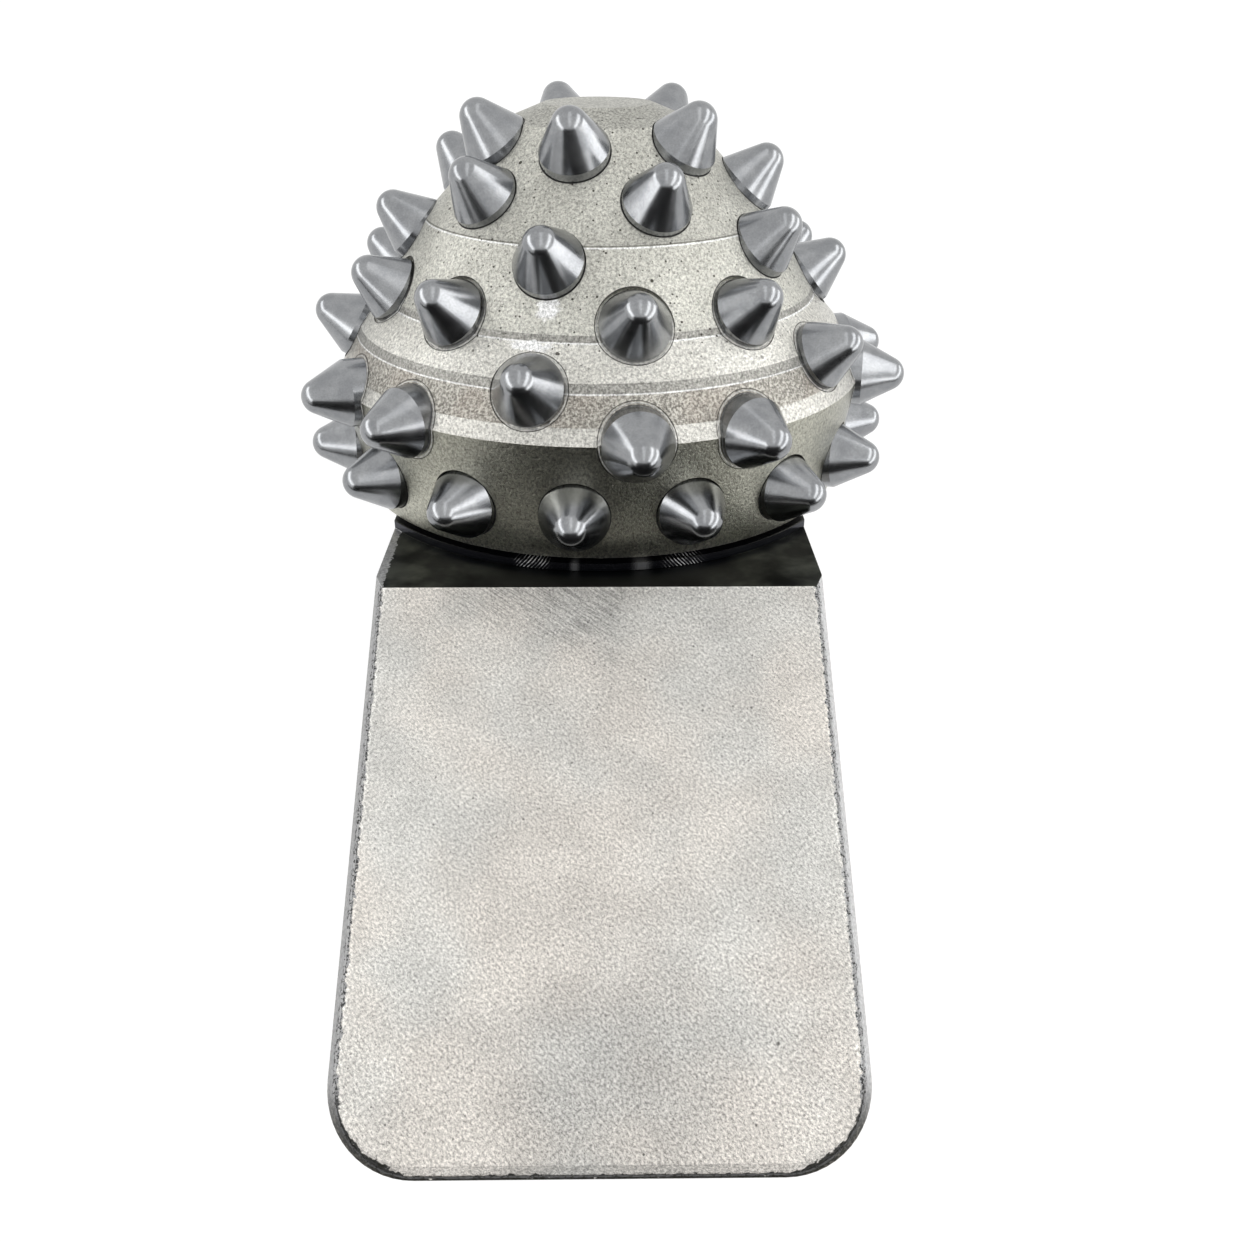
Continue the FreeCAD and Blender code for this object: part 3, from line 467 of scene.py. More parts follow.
# Two painted highlights, bright spots of lamp glare on the crown: way round the cone, height, and half sizes
cone_x, cone_y = cone.parts(cone_place)[0:2]
ring_place = cone.math("MULTIPLY", cone.math("ARCTAN2", cone_y, cone_x), CONE_RING)
frayed = cone.math("SUBTRACT", cone.noise(cone_place, 1.6, 3.0, 0.6), 0.5)
frayed = cone.math("MULTIPLY", frayed, 1.6)
for ring, height, half_ring, half_height in GLARE_SPOTS:
    right = cone.math("DIVIDE", cone.math("SUBTRACT", ring_place, ring), half_ring)
    up = cone.math("DIVIDE", cone.math("SUBTRACT", cone_rise, height), half_height)
    away = cone.math("ADD", cone.length(right, up), frayed)
    glare = cone.math("MULTIPLY", cone.rise(away, 1.15, 0.75), 0.85)
    cone_colour = cone.mix(glare, cone_colour, grey(0.84))

# The grain of each band, as tone and as depth
on_peel = cone.between(cone_rise, SMOOTH_LAND_TOP, LAND_TOP, 0.3)
cone_tone = cone.math("SUBTRACT", cone.rise(cone_grain, 0.30, 0.70), 0.55)
on_nose = cone.rise(cone_rise, NOSE_BEVEL - 0.1, NOSE_BEVEL + 0.1)
cone_tone = cone.math("ADD", cone_tone, cone.blend(on_nose, 1.0, 0.88))
cone_toned = cone.scaled(cone_colour, cone_tone)
on_heel = cone.rise(cone_rise, HEEL_TOP + 0.05, HEEL_TOP - 0.05)
peel_depth = cone.math("MULTIPLY", peel, cone.blend(on_peel, cone.blend(on_heel, 0.25, 0.22), 1.2))
cone_bump = cone.bump(peel_depth, 0.25, cone.bump(cone_grain, 0.08))
on_lands = cone.rise(cone_rise, HIGH_STEP + 2, LAND_TOP)
cone_rough = cone.blend(on_heel, cone.blend(on_lands, 0.48, 0.40), 0.28)
cone_metal = cone.blend(on_heel, 0.9, 1.0)
cone.set(Base_Color=cone_toned, Metallic=cone_metal, Roughness=cone_rough, Normal=cone_bump)
print("cone finish:", len(cone.tree.nodes), "nodes")

# %% [markdown]
# ## Finishes of the small parts
# The bearing, the grease reservoir and its cap are turned, ground or moulded pieces. Most of
# them only show from the back or with the cone off, but each still gets the mark of how it was
# made: fine turning rings, a moulded rubber skin, or a weld's heat colours.


# %% Define the turned, moulded and welded finishes
def turned_finish(name, light, dark, roughness, metallic=1.0, ring=0.4,
                  centre=cone_base, turn=journal_turn):
    """Fine rings round an axis, as a lathe or a grinder leaves them."""
    made = Finish(name, Metallic=metallic)
    local = made.place_from(centre, turn)
    x, y, z = made.parts(local)[0:3]
    lathe_place = made.node("ShaderNodeCombineXYZ", {0: made.length(x, y), 2: z}).outputs[0]
    rings = made.noise(lathe_place, ring, 2.0)
    clouds_here = made.noise(local, 9, 2.0)
    tone = made.math("ADD", made.math("MULTIPLY", rings, 0.5), made.math("MULTIPLY", clouds_here, 0.5))
    colour = made.mix(made.rise(tone, 0.35, 0.65), dark, light)
    rough = made.blend(made.rise(clouds_here, 0.3, 0.7), roughness * 0.85, roughness * 1.15)
    made.set(Base_Color=colour, Roughness=rough, Normal=made.bump(rings, 0.02))
    return made.material


def rubber_finish():
    """Matt rubber with a fine moulded skin and a little dust."""
    made = Finish("moulded_rubber", Specular_IOR_Level=0.35)
    skin = made.noise(made.mm, 0.8, 3.0)
    dust = made.noise(made.mm, 7, 2.0)
    colour = made.mix(made.rise(dust, 0.4, 0.75), grey(0.018), grey(0.045))
    made.set(Base_Color=colour, Roughness=made.blend(skin, 0.5, 0.72), Normal=made.bump(skin, 0.03))
    return made.material


def weld_finish():
    """Ground flush: scratches one way, and rings of heat colours from straw to blue."""
    made = Finish("ground_weld", Metallic=1.0)
    low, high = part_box("ball_plug_weld")
    reach = (high - low).length / MM / 2
    inputs = {0: made.place, 1: (low + high) / 2}
    away = made.node("ShaderNodeVectorMath", inputs, operation="DISTANCE").outputs["Value"]
    waver = made.math("MULTIPLY", made.noise(made.mm, 3.0), 0.3)
    away = made.math("ADD", made.math("DIVIDE", away, reach * MM), waver)
    straw = made.mix(made.rise(away, 0.35, 0.60), grey(0.42), (0.50, 0.38, 0.20, 1))
    purple = made.mix(made.rise(away, 0.62, 0.78), straw, (0.30, 0.18, 0.28, 1))
    heat = made.mix(made.rise(away, 0.80, 0.98), purple, (0.14, 0.20, 0.34, 1))
    scratches = made.noise(made.turned(made.mm, 25, 14), 0.3)
    colour = made.scaled(heat, made.blend(scratches, 0.75, 1.25))
    made.set(Base_Color=colour, Roughness=made.blend(scratches, 0.28, 0.42),
             Normal=made.bump(scratches, 0.03))
    return made.material


reservoir_low, reservoir_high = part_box("reservoir_cap")
reservoir_centre = (reservoir_low + reservoir_high) / 2
upright = {"centre": reservoir_centre, "turn": (0, 0, 0)}
bearing_steel = turned_finish("ground_bearing_steel", grey(0.68), grey(0.56), 0.16, ring=0.2)
bronze_light = (0.70, 0.50, 0.28, 1)
bronze_dark = (0.58, 0.38, 0.19, 1)
bearing_bronze = turned_finish("machined_bronze", bronze_light, bronze_dark, 0.26)
sheet_steel = turned_finish("drawn_sheet_steel", grey(0.60), grey(0.48), 0.30, **upright)
cap_black = turned_finish("blackened_turned_steel", grey(0.10), grey(0.045), 0.34,
                          metallic=0.7, ring=0.5, **upright)
spring_black = turned_finish("oil_black_spring_steel", grey(0.20), grey(0.11), 0.30,
                             metallic=0.9, ring=0.6, **upright)
moulded_rubber = rubber_finish()

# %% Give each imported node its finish
NODE_FINISHES = {
    "leg": leg.material,
    "cone_shell": cone.material,
    "bearing_rollers": bearing_steel,
    "retaining_balls": bearing_steel,
    "ball_retaining_plug": bearing_steel,
    "ball_plug_weld": weld_finish(),
    "thrust_button": bearing_steel,
    "nose_bushing": bearing_bronze,
    "thrust_washer": bearing_bronze,
    "reservoir_canister": sheet_steel,
    "reservoir_cap": cap_black,
    "cap_snap_ring": spring_black,
    "grease_plug": spring_black,
    "cone_seal": moulded_rubber,
    "reservoir_diaphragm": moulded_rubber,
    "cap_seal": moulded_rubber,
}
for node_name, material in NODE_FINISHES.items():
    mesh = frame["nodes"][node_name].data
    mesh.materials.clear()
    mesh.materials.append(material)
print("finishes set on", len(NODE_FINISHES), "packed nodes")

# %% [markdown]
# ## The carbide teeth
# A tooth is sintered tungsten carbide, tumbled until it is bright. It is a round peg with a
# straight flank and a domed tip, pressed into a drilled hole. One tooth is turned here from its
# outline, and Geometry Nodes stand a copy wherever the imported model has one. The places are
# measured from the model itself: the flat end of each peg gives its foot and its direction.

# %% Mix the carbide finish
carbide = Finish("tumbled_carbide", Metallic=1.0)
cloud = carbide.noise(carbide.mm, 3.5, 3.0, 0.55)
fine = carbide.noise(carbide.mm, 0.4, 2.0, 0.6)
clouded = carbide.rise(cloud, 0.3, 0.7)
carbide_colour = carbide.mix(clouded, (0.255, 0.262, 0.272, 1), (0.315, 0.322, 0.33, 1))
fine_tone = carbide.blend(carbide.rise(fine, 0.3, 0.7), 0.94, 1.06)
carbide.set(Base_Color=carbide.scaled(carbide_colour, fine_tone),
            Roughness=carbide.blend(cloud, 0.19, 0.27), Normal=carbide.bump(fine, 0.0015))


# %% Turn one tooth from its outline
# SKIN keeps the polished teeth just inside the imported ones, so the size stays the same
TIP_RADIUS = 4.2 * MM
FLANK_ANGLE = math.radians(27.5)
SKIN = 0.01 * MM
ROUND_STEPS = 48
DOME_STEPS = 12


def tooth_outline(radius, length):
    """Radius and height from the centre of the flat end to the middle of the tip."""
    middle = length - TIP_RADIUS
    touch_radius = TIP_RADIUS * math.cos(FLANK_ANGLE)
    touch_height = middle + TIP_RADIUS * math.sin(FLANK_ANGLE)
    neck = touch_height - (radius - touch_radius) / math.tan(FLANK_ANGLE)
    points = [(0, 0), (radius, 0), (radius, neck)]
    for step in range(DOME_STEPS + 1):
        angle = FLANK_ANGLE + (math.pi / 2 - FLANK_ANGLE) * step / DOME_STEPS
        points.append((TIP_RADIUS * math.cos(angle), middle + TIP_RADIUS * math.sin(angle)))
    return points


def turned_mesh(name, outline):
    """A closed mesh, turned about Z from an outline that starts and ends on the axis."""
    made = bmesh.new()
    rings = []
    for radius, height in outline[1:-1]:
        turns = [2 * math.pi * step / ROUND_STEPS for step in range(ROUND_STEPS)]
        rings.append([made.verts.new((radius * math.cos(a), radius * math.sin(a), height)) for a in turns])
    foot = made.verts.new((0, 0, outline[0][1]))
    tip = made.verts.new((0, 0, outline[-1][1]))
    for step in range(ROUND_STEPS):
        after = (step + 1) % ROUND_STEPS
        made.faces.new((foot, rings[0][after], rings[0][step]))
        made.faces.new((tip, rings[-1][step], rings[-1][after]))
        for low, high in zip(rings, rings[1:]):
            made.faces.new((low[step], low[after], high[after], high[step]))
    mesh = bpy.data.meshes.new(name)
    made.to_mesh(mesh)
    made.free()
    mesh.shade_smooth()
    mesh.set_sharp_from_angle(angle=math.radians(20))
    return mesh


# %% Measure where the teeth stand
def islands(mesh):
    """The separate pieces of a mesh, each as a list of its faces, in an order that never varies."""
    left = dict.fromkeys(mesh.faces)
    found = []
    while left:
        stack = [left.popitem()[0]]
        piece = []
        while stack:
            face = stack.pop()
            piece.append(face)
            for edge in face.edges:
                for near in edge.link_faces:
                    if near in left:
                        del left[near]
                        stack.append(near)
        found.append(piece)
    return found


def tooth_places(node_name):
    """Foot, direction, radius and length of each tooth in a packed row."""
    mesh = bmesh.new()
    mesh.from_mesh(frame["nodes"][node_name].data)
    bmesh.ops.remove_doubles(mesh, verts=mesh.verts, dist=1e-6)
    places = []
    for piece in islands(mesh):
        flats = {}
        for face in piece:
            key = tuple(round(v, 2) for v in face.normal)
            flats.setdefault(key, []).append(face)
        flat = max(flats.values(), key=lambda faces: sum(f.calc_area() for f in faces))
        area = sum(f.calc_area() for f in flat)
        foot = sum((f.calc_center_median() * f.calc_area() for f in flat), Vector()) / area
        direction = -flat[0].normal.normalized()
        radius = max((v.co - foot).length for f in flat for v in f.verts)
        length = max((v.co - foot).dot(direction) for f in piece for v in f.verts)
        places.append((foot, direction, radius, length))
    mesh.free()
    return places


# %% Build the tree that stands the teeth in a row
def new_tree(name, inputs):
    """A Geometry Nodes tree with named inputs, and its input and output nodes."""
    tree = bpy.data.node_groups.new(name, "GeometryNodeTree")
    tree.interface.new_socket("Geometry", in_out="INPUT", socket_type="NodeSocketGeometry")
    for label, kind in inputs:
        tree.interface.new_socket(label, in_out="INPUT", socket_type=kind)
    tree.interface.new_socket("Geometry", in_out="OUTPUT", socket_type="NodeSocketGeometry")
    writer = Tree(tree)
    return writer, writer.node("NodeGroupInput").outputs, writer.node("NodeGroupOutput").inputs


def painted_tree(tree, grown, given, result):
    """Make the grown geometry real, give it the finish and close the tree."""
    real = tree.node("GeometryNodeRealizeInstances", {"Geometry": grown}).outputs[0]
    inputs = {"Geometry": real, "Material": given["Finish"]}
    painted = tree.node("GeometryNodeSetMaterial", inputs)
    tree.feed(result["Geometry"], painted.outputs[0])
    return tree.tree


def tooth_row_tree():
    """A copy of one tooth on every point, along that point's direction, turned at random."""
    inputs = [("Tooth", "NodeSocketObject"), ("Largest Turn", "NodeSocketFloat"),
              ("Seed", "NodeSocketInt"), ("Finish", "NodeSocketMaterial")]
    tree, given, result = new_tree("stand_teeth", inputs)
    master = tree.node("GeometryNodeObjectInfo", {"Object": given["Tooth"]}).outputs["Geometry"]
    direction = tree.node("GeometryNodeInputNamedAttribute", {"Name": "direction"}, data_type="FLOAT_VECTOR")
    upright = tree.node("FunctionNodeAlignRotationToVector", {"Vector": direction.outputs[0]}, axis="Z")
    turn = tree.node("FunctionNodeRandomValue", {3: given["Largest Turn"], "Seed": given["Seed"]},
                     data_type="FLOAT")
    spin = tree.node("FunctionNodeAxisAngleToRotation", {"Axis": (0, 0, 1), "Angle": turn.outputs[1]})
    both = tree.node("FunctionNodeRotateRotation", {0: upright.outputs[0], 1: spin.outputs[0]},
                     rotation_space="LOCAL")
    stood = tree.node("GeometryNodeInstanceOnPoints", {"Points": given["Geometry"], "Instance": master,
                                                       "Rotation": both.outputs[0]})
    return painted_tree(tree, stood.outputs[0], given, result)


def made_real(holder, tree, **values):
    """Run a tree on an object and keep the result as its plain mesh."""
    modifier = holder.modifiers.new("shape", "NODES")
    modifier.node_group = tree
    for item in tree.interface.items_tree:
        if item.item_type == "SOCKET" and item.in_out == "INPUT" and item.name in values:
            modifier[item.identifier] = values[item.name]
    bpy.context.view_layer.update()
    graph = bpy.context.evaluated_depsgraph_get()
    mesh = bpy.data.meshes.new_from_object(holder.evaluated_get(graph))
    name = holder.name
    bpy.data.objects.remove(holder)
    piece = bpy.data.objects.new(name, mesh)
    bpy.context.scene.collection.objects.link(piece)
    return piece


# %% Stand the teeth, one row at a time
TOOTH_ROWS = ["nose_row_teeth", "second_row_teeth", "third_row_teeth", "fourth_row_teeth",
              "fifth_row_teeth", "sixth_row_teeth", "gage_row_teeth"]
row_tree = tooth_row_tree()
for seed, node_name in enumerate(TOOTH_ROWS):
    places = tooth_places(node_name)
    radius, length = places[0][2:4]
    outline = tooth_outline(radius - SKIN, length - SKIN)
    master = bpy.data.objects.new("one_tooth", turned_mesh("one_tooth", outline))
    points = bpy.data.meshes.new("feet")
    points.from_pydata([foot for foot, _, _, _ in places], [], [])
    direction = points.attributes.new("direction", "FLOAT_VECTOR", "POINT")
    direction.data.foreach_set("vector", [v for _, way, _, _ in places for v in way])
    holder = bpy.data.objects.new("polished_" + node_name, points)
    bpy.context.scene.collection.objects.link(holder)
    row = made_real(holder, row_tree, Tooth=master, Seed=seed, Finish=carbide.material,
                    **{"Largest Turn": 2 * math.pi})
    bpy.data.objects.remove(master)
    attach(row, "cone")
    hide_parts(node_name)
    print(row.name, len(places), "teeth of", round(length / MM, 1), "mm,", len(row.data.polygons), "faces")

# %% [markdown]
# ## Rims round the teeth
# Before the teeth are pressed in, a cutter faces a small flat round each hole. On three rows
# its rim gets a painted highlight, a pale thin ring, with a painted shadow ring just outside it;
# on the other rows a thin dark line is left where the carbide meets the steel. All follow the
# cone's own surface, so rays sent down along each tooth find their path, and one small tree
# sweeps a thin round section along every path at once.

# %% Find the paths on the cone's surface
def surface_of(node_name):
    """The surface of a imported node, for rays to meet."""
    mesh = bmesh.new()
    mesh.from_mesh(frame["nodes"][node_name].data)
    surface = BVHTree.FromBMesh(mesh)
    mesh.free()
    return surface


RIM_STEPS = 56
SPOT_ROWS = ["fourth_row_teeth", "fifth_row_teeth", "sixth_row_teeth"]
PLAIN_ROWS = [name for name in TOOTH_ROWS if name not in SPOT_ROWS]
cone_surface = surface_of("cone_shell")


def ring_on_cone(foot, direction, length, radius):
    """A closed path round one tooth, where rays along the tooth meet the cone."""
    side = direction.orthogonal().normalized()
    other = direction.cross(side)
    points = []
    for step in range(RIM_STEPS):
        angle = 2 * math.pi * step / RIM_STEPS
        outward = side * math.cos(angle) + other * math.sin(angle)
        start = foot + direction * length + radius * outward
        hit = cone_surface.ray_cast(start, -direction)[0]
        if hit is not None:
            points.append(hit)
    return points


def swept_tree():
    """A thin round section swept along every path, a little uneven."""
    inputs = [("Thickness", "NodeSocketFloat"), ("Unevenness", "NodeSocketFloat"),
              ("Wave", "NodeSocketFloat"), ("Finish", "NodeSocketMaterial")]
    tree, given, result = new_tree("swept_paths", inputs)
    inputs = {"Resolution": 6, "Radius": given["Thickness"]}
    ring = tree.node("GeometryNodeCurvePrimitiveCircle", inputs)
    place = tree.node("GeometryNodeInputPosition").outputs[0]
    rate = tree.math("DIVIDE", 1.0, given["Wave"])
    wave = tree.node("ShaderNodeTexNoise", {"Vector": place, "Scale": rate}).outputs[0]
    uneven = tree.math("MULTIPLY", tree.math("SUBTRACT", wave, 0.5), given["Unevenness"])
    inputs = {"Curve": given["Geometry"], "Profile Curve": ring.outputs[0],
              "Scale": tree.math("ADD", uneven, 1.0)}
    swept = tree.node("GeometryNodeCurveToMesh", inputs)
    smooth = tree.node("GeometryNodeSetShadeSmooth", {"Geometry": swept.outputs[0]})
    return painted_tree(tree, smooth.outputs[0], given, result)


def paths_object(name, paths, closed=True):
    """A curve object that holds one straight-sided path for each list of points."""
    curve = bpy.data.curves.new(name, "CURVE")
    curve.dimensions = "3D"
    for points in paths:
        spline = curve.splines.new("POLY")
        spline.points.add(len(points) - 1)
        for place, point in zip(spline.points, points):
            place.co = (*point, 1)
        spline.use_cyclic_u = closed
    made = bpy.data.objects.new(name, curve)
    bpy.context.scene.collection.objects.link(made)
    return made


# %% Sweep the painted highlight rings, the painted shadow rings and the joint lines
# Painted highlight: a pale thin ring on the rim of each spot face, where its wall catches the light
rim_highlight = Finish("bright_rim", Metallic=0.25, Roughness=0.45)
rim_highlight_grit = rim_highlight.noise(rim_highlight.mm, 0.9, 2.0)
rim_highlight.set(Base_Color=rim_highlight.mix(rim_highlight.rise(rim_highlight_grit, 0.35, 0.65), grey(0.42), (0.86, 0.85, 0.81, 1)))
# This dark finish serves the real joint lines and the painted shadow rings just outside the spot faces
joint = Finish("joint_shadow", Metallic=0.3, Roughness=0.6)
joint_grit = joint.noise(joint.mm, 1.4, 2.0)
joint.set(Base_Color=joint.mix(joint_grit, grey(0.010), (0.035, 0.034, 0.030, 1)))
# The teeth are 8 mm in radius, so the lines lie 0.1 to 0.74 mm outside them
JOINT_RADIUS = 8.10 * MM
RIM_RADIUS = 8.34 * MM
RIM_SHADOW_RADIUS = 8.74 * MM
LINE_WIDTH = 0.12 * MM
SHADOW_WIDTH = 0.09 * MM
sweep = swept_tree()
for name, rows, radius, thickness, finish in (
    ("spot_face_rims", SPOT_ROWS, RIM_RADIUS, LINE_WIDTH, rim_highlight),
    ("spot_face_shadows", SPOT_ROWS, RIM_SHADOW_RADIUS, SHADOW_WIDTH, joint),
    ("joint_lines", PLAIN_ROWS, JOINT_RADIUS, LINE_WIDTH, joint),
):
    paths = []
    for node_name in rows:
        for foot, direction, _, length in tooth_places(node_name):
            paths.append(ring_on_cone(foot, direction, length, radius))
    rings = made_real(paths_object(name, paths), sweep, Thickness=thickness, Unevenness=0.9,
                      Wave=1.3 * MM, Finish=finish.material)
    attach(rings, "cone")
    print(name, len(paths), "rings,", len(rings.data.polygons), "faces")

# %% [markdown]
# ## The torn edge of the forging
# A forging comes out of its dies with a thin flash, which a press tears off. What is left is a
# ragged dark line all round the face. It follows the outline of the leg, so it is a curve with
# a flat oval section swept along it, and noise bites chips out of it.


# %% Draw the outline that the edge follows
CORNER = FOOT_CORNER * MM
EDGE_INSET = 1.9 * MM
EDGE_FOOT_INSET = 0.60 * MM
EDGE_DROP = 0.12 * MM
EDGE_START = -0.4 * MM
CORNER_STEPS = 24
leg_surface = surface_of("leg")


def outline_points():
    """Down the left side, round the foot and up the right side, on the leg's own surface."""
    right = leg_high.x - EDGE_INSET
    bend_x = CORNER - EDGE_INSET
    bend_y = CORNER - EDGE_FOOT_INSET
    centre_y = leg_low.y + CORNER
    flat = [(-right, EDGE_START)]
    for centre_x, start in ((bend_x - right, math.pi), (right - bend_x, 1.5 * math.pi)):
        for step in range(CORNER_STEPS + 1):
            angle = start + math.pi / 2 * step / CORNER_STEPS
            flat.append((centre_x + bend_x * math.cos(angle), centre_y + bend_y * math.sin(angle)))
    flat.append((right, EDGE_START))
    down = Vector((0, 0, -1))
    found = [leg_surface.ray_cast(Vector((x, y, 2 * face_height)), down)[0] for x, y in flat]
    return [point - Vector((0, 0, EDGE_DROP)) for point in found]


# %% Build the tree that sweeps and chips the edge
def torn_edge_tree():
    """A flat oval swept along a curve, with chips bitten out of it by noise."""
    inputs = [("Half Width", "NodeSocketFloat"), ("Half Thickness", "NodeSocketFloat"),
              ("Slope", "NodeSocketFloat"), ("Step", "NodeSocketFloat"),
              ("Chip Size", "NodeSocketFloat"), ("Chip Depth", "NodeSocketFloat"),
              ("Finish", "NodeSocketMaterial")]
    tree, given, result = new_tree("torn_edge", inputs)
    inputs = {"Curve": given["Geometry"], "Length": given["Step"]}
    even = tree.node("GeometryNodeResampleCurve", inputs, mode="LENGTH")
    level = tree.node("GeometryNodeSetCurveNormal", {"Curve": even.outputs[0]}, mode="Z_UP")
    ring = tree.node("GeometryNodeCurvePrimitiveCircle", {"Resolution": 12, "Radius": 1.0})
    inputs = {0: given["Half Width"], 1: given["Half Thickness"], 2: 1.0}
    size = tree.node("ShaderNodeCombineXYZ", inputs)
    turn = tree.node("ShaderNodeCombineXYZ", {2: given["Slope"]})
    inputs = {"Geometry": ring.outputs[0], "Scale": size.outputs[0]}
    oval = tree.node("GeometryNodeTransform", inputs)
    inputs = {"Geometry": oval.outputs[0], "Rotation": turn.outputs[0]}
    tipped = tree.node("GeometryNodeTransform", inputs)
    place = tree.node("GeometryNodeInputPosition").outputs[0]
    rate = tree.math("DIVIDE", 1.0, given["Chip Size"])
    inputs = {"Vector": place, "Scale": rate, "Detail": 3.0}
    along = tree.node("ShaderNodeTexNoise", inputs).outputs[0]
    breadth = tree.math("MULTIPLY_ADD", along, 1.1)
    breadth.node.inputs[2].default_value = 0.35
    inputs = {"Curve": level.outputs[0], "Profile Curve": tipped.outputs[0], "Scale": breadth,
              "Fill Caps": True}
    swept = tree.node("GeometryNodeCurveToMesh", inputs)
    inputs = {"Vector": place, "Scale": tree.math("MULTIPLY", rate, 2.2), "Detail": 2.0}
    bites = tree.node("ShaderNodeTexNoise", inputs).outputs[0]
    bitten = tree.math("MULTIPLY", tree.math("SUBTRACT", 0.5, bites), given["Chip Depth"])
    normal = tree.node("GeometryNodeInputNormal").outputs[0]
    inputs = {"Geometry": swept.outputs[0], "Offset": tree.scaled(normal, bitten)}
    chipped = tree.node("GeometryNodeSetPosition", inputs)
    return painted_tree(tree, chipped.outputs[0], given, result)


# %% Sweep the edge round the face
torn = Finish("torn_flash_edge", Metallic=0.6)
grit = torn.noise(torn.mm, 0.5, 3.0, 0.6)
torn_y = torn.parts(torn.mm)[1]
near_foot_end = torn.rise(torn_y, SIDE_TRIM_END, FOOT_TRIM_START)
torn_light = torn.mix(near_foot_end, grey(0.46), grey(0.12))
torn_colour = torn.mix(torn.rise(grit, 0.36, 0.50), (0.035, 0.033, 0.030, 1), torn_light)
torn.set(Base_Color=torn_colour, Roughness=0.6, Normal=torn.bump(grit, 0.15))
path = paths_object("torn_edge", [outline_points()], closed=False)
edge = made_real(path, torn_edge_tree(), Step=0.5 * MM, Slope=math.radians(-50), Finish=torn.material,
                 **{"Half Width": 0.50 * MM, "Half Thickness": 0.22 * MM, "Chip Size": 1.5 * MM,
                    "Chip Depth": 0.7 * MM})
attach(edge, "leg")
print("torn edge:", len(edge.data.polygons), "faces")

# %% [markdown]
# ## The stage
# The photo has a plain white ground. The floor and the world look white to the camera and in
# reflections, while softer light falls on the segment, so its colours stay as they are written.
# Four long tubes hang overhead, as in a light box: they draw the bright streaks on the teeth.
# Two black cards, which only reflections see, give the polished flanks something dark to mirror.

# %% Build the world
WORLD_FILL = 0.40
world = bpy.data.worlds.new("studio")
bpy.context.scene.world = world
world.use_nodes = True
sky = Tree(world.node_tree)
level = sky.node("ShaderNodeMix", {0: sky.seen(), 2: WORLD_FILL, 3: 1.0}, data_type="FLOAT").outputs[0]
backdrop = world.node_tree.nodes["Background"]
backdrop.inputs["Color"].default_value = (1, 1, 1, 1)
sky.feed(backdrop.inputs["Strength"], level)


# %% Lay the floor and hang the cards
def stage_sheet(name, corners, material, faces=((0, 1, 2, 3),)):
    """A flat sheet that belongs to the stage and not to the model."""
    mesh = bpy.data.meshes.new(name)
    mesh.from_pydata(corners, [], faces)
    mesh.materials.append(material)
    made = bpy.data.objects.new(name, mesh)
    bpy.context.scene.collection.objects.link(made)
    return made


PAPER_TONE = 0.8
SHADOW_TONE = 0.22
FLOOR_GLOW = 0.90


def floor_finish():
    """White to the eye, pale for the light that bounces off it, and it keeps a faint shadow."""
    made = Finish("floor_paper")
    output = made.tree.nodes["Material Output"]
    made.tree.nodes.remove(made.surface)
    paper = made.node("ShaderNodeBsdfDiffuse", {"Color": grey(PAPER_TONE)}).outputs[0]
    shadow = made.node("ShaderNodeBsdfDiffuse", {"Color": grey(SHADOW_TONE)}).outputs[0]
    glow = made.node("ShaderNodeEmission", {"Color": grey(1), "Strength": FLOOR_GLOW}).outputs[0]
    bright = made.node("ShaderNodeAddShader", {0: shadow, 1: glow}).outputs[0]
    both = made.node("ShaderNodeMixShader", {0: made.seen(), 1: paper, 2: bright}).outputs[0]
    made.feed(output.inputs["Surface"], both)
    return made.material


def card_finish():
    """Black on its front, and clear from behind."""
    made = Finish("black_card", Base_Color=grey(0.02), Roughness=0.9, Specular_IOR_Level=0.0)
    behind = made.node("ShaderNodeNewGeometry").outputs["Backfacing"]
    clear = made.node("ShaderNodeBsdfTransparent").outputs[0]
    inputs = {0: behind, 1: made.surface.outputs[0], 2: clear}
    both = made.node("ShaderNodeMixShader", inputs).outputs[0]
    made.feed(made.tree.nodes["Material Output"].inputs["Surface"], both)
    return made.material


FLOOR_HALF = 4.0
FLOOR_DROP = -0.0002
corner_signs = ((-1, -1), (1, -1), (1, 1), (-1, 1))
floor_corners = [(FLOOR_HALF * x, FLOOR_HALF * y, FLOOR_DROP) for x, y in corner_signs]
stage_sheet("floor", floor_corners, floor_finish())

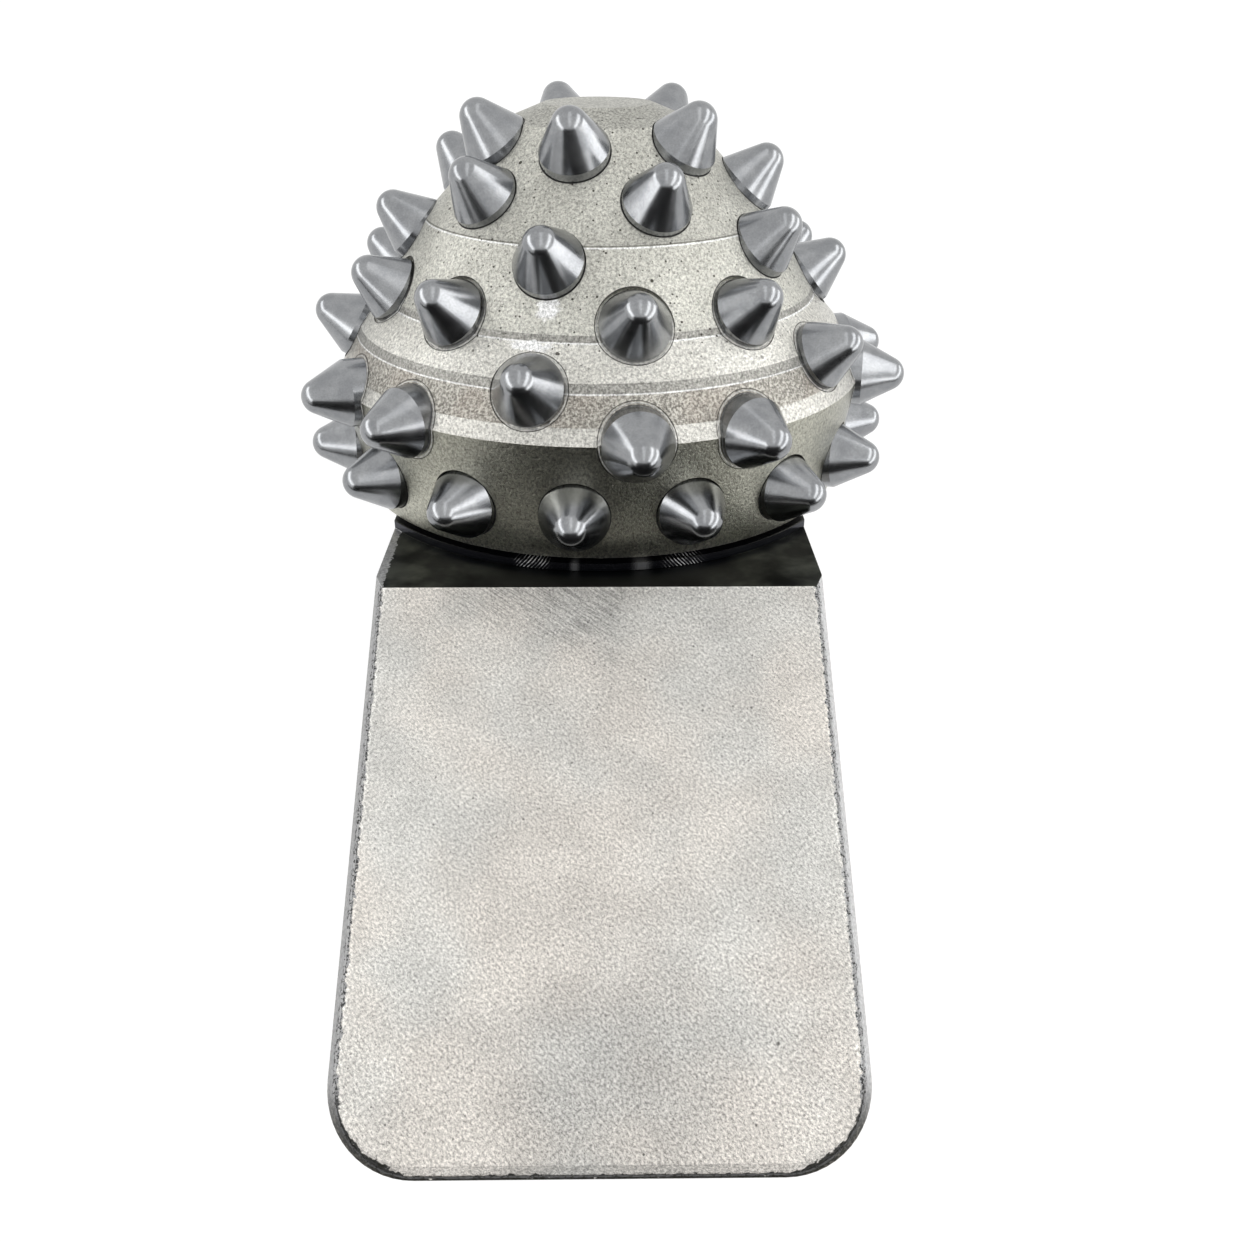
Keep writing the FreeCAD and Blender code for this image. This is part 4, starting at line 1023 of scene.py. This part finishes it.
# The first card stands in front of the foot and runs back to it along the floor
CARD_DISTANCE = -1.2
CARD_HALF = 1.0
CARD_FOOT = 0.001
CARD_TOP = 0.62
CARD_START = -0.16
card_corners = [(-CARD_HALF, CARD_DISTANCE, CARD_FOOT), (CARD_HALF, CARD_DISTANCE, CARD_FOOT),
                (CARD_HALF, CARD_DISTANCE, CARD_TOP), (-CARD_HALF, CARD_DISTANCE, CARD_TOP),
                (CARD_HALF, CARD_START, CARD_FOOT), (-CARD_HALF, CARD_START, CARD_FOOT)]
black_card = card_finish()
front_card = stage_sheet("front_card", card_corners, black_card, [(0, 3, 2, 1), (0, 1, 4, 5)])

# A second card lies just over the leg's face, black on top, so the cone doesn't mirror the face
LOW_CARD_HALF = 0.056
LOW_CARD_FOOT = -0.125
LOW_CARD_END = -0.001
low_card_height = face_height + 0.003
low_corners = [(-LOW_CARD_HALF, LOW_CARD_FOOT, low_card_height),
               (LOW_CARD_HALF, LOW_CARD_FOOT, low_card_height),
               (LOW_CARD_HALF, LOW_CARD_END, low_card_height),
               (-LOW_CARD_HALF, LOW_CARD_END, low_card_height)]
low_card = stage_sheet("low_card", low_corners, black_card)
for card in (front_card, low_card):
    card.visible_camera = False
    card.visible_diffuse = False
    card.visible_shadow = False
    card.visible_transmission = False

# %% Hang the light tubes
# Each tube's lean from straight overhead in degrees, and its power in watts
TUBES = ((-62, 9.0), (2, 2.4), (46, 8.0), (80, 9.0))
TUBE_DISTANCE = 1.5
TUBE_SIZE = (0.40, 2.6)
TUBE_FORWARD = -0.35
for number, (degrees, power) in enumerate(TUBES):
    angle = math.radians(degrees)
    data = bpy.data.lights.new("tube_%d" % number, "AREA")
    data.shape = "RECTANGLE"
    data.size, data.size_y = TUBE_SIZE
    data.energy = power
    tube = bpy.data.objects.new("tube_%d" % number, data)
    tube.location = (TUBE_DISTANCE * math.sin(angle), TUBE_FORWARD, TUBE_DISTANCE * math.cos(angle))
    tube.rotation_euler = (0, angle, 0)
    bpy.context.scene.collection.objects.link(tube)
print("lights:", len(TUBES))
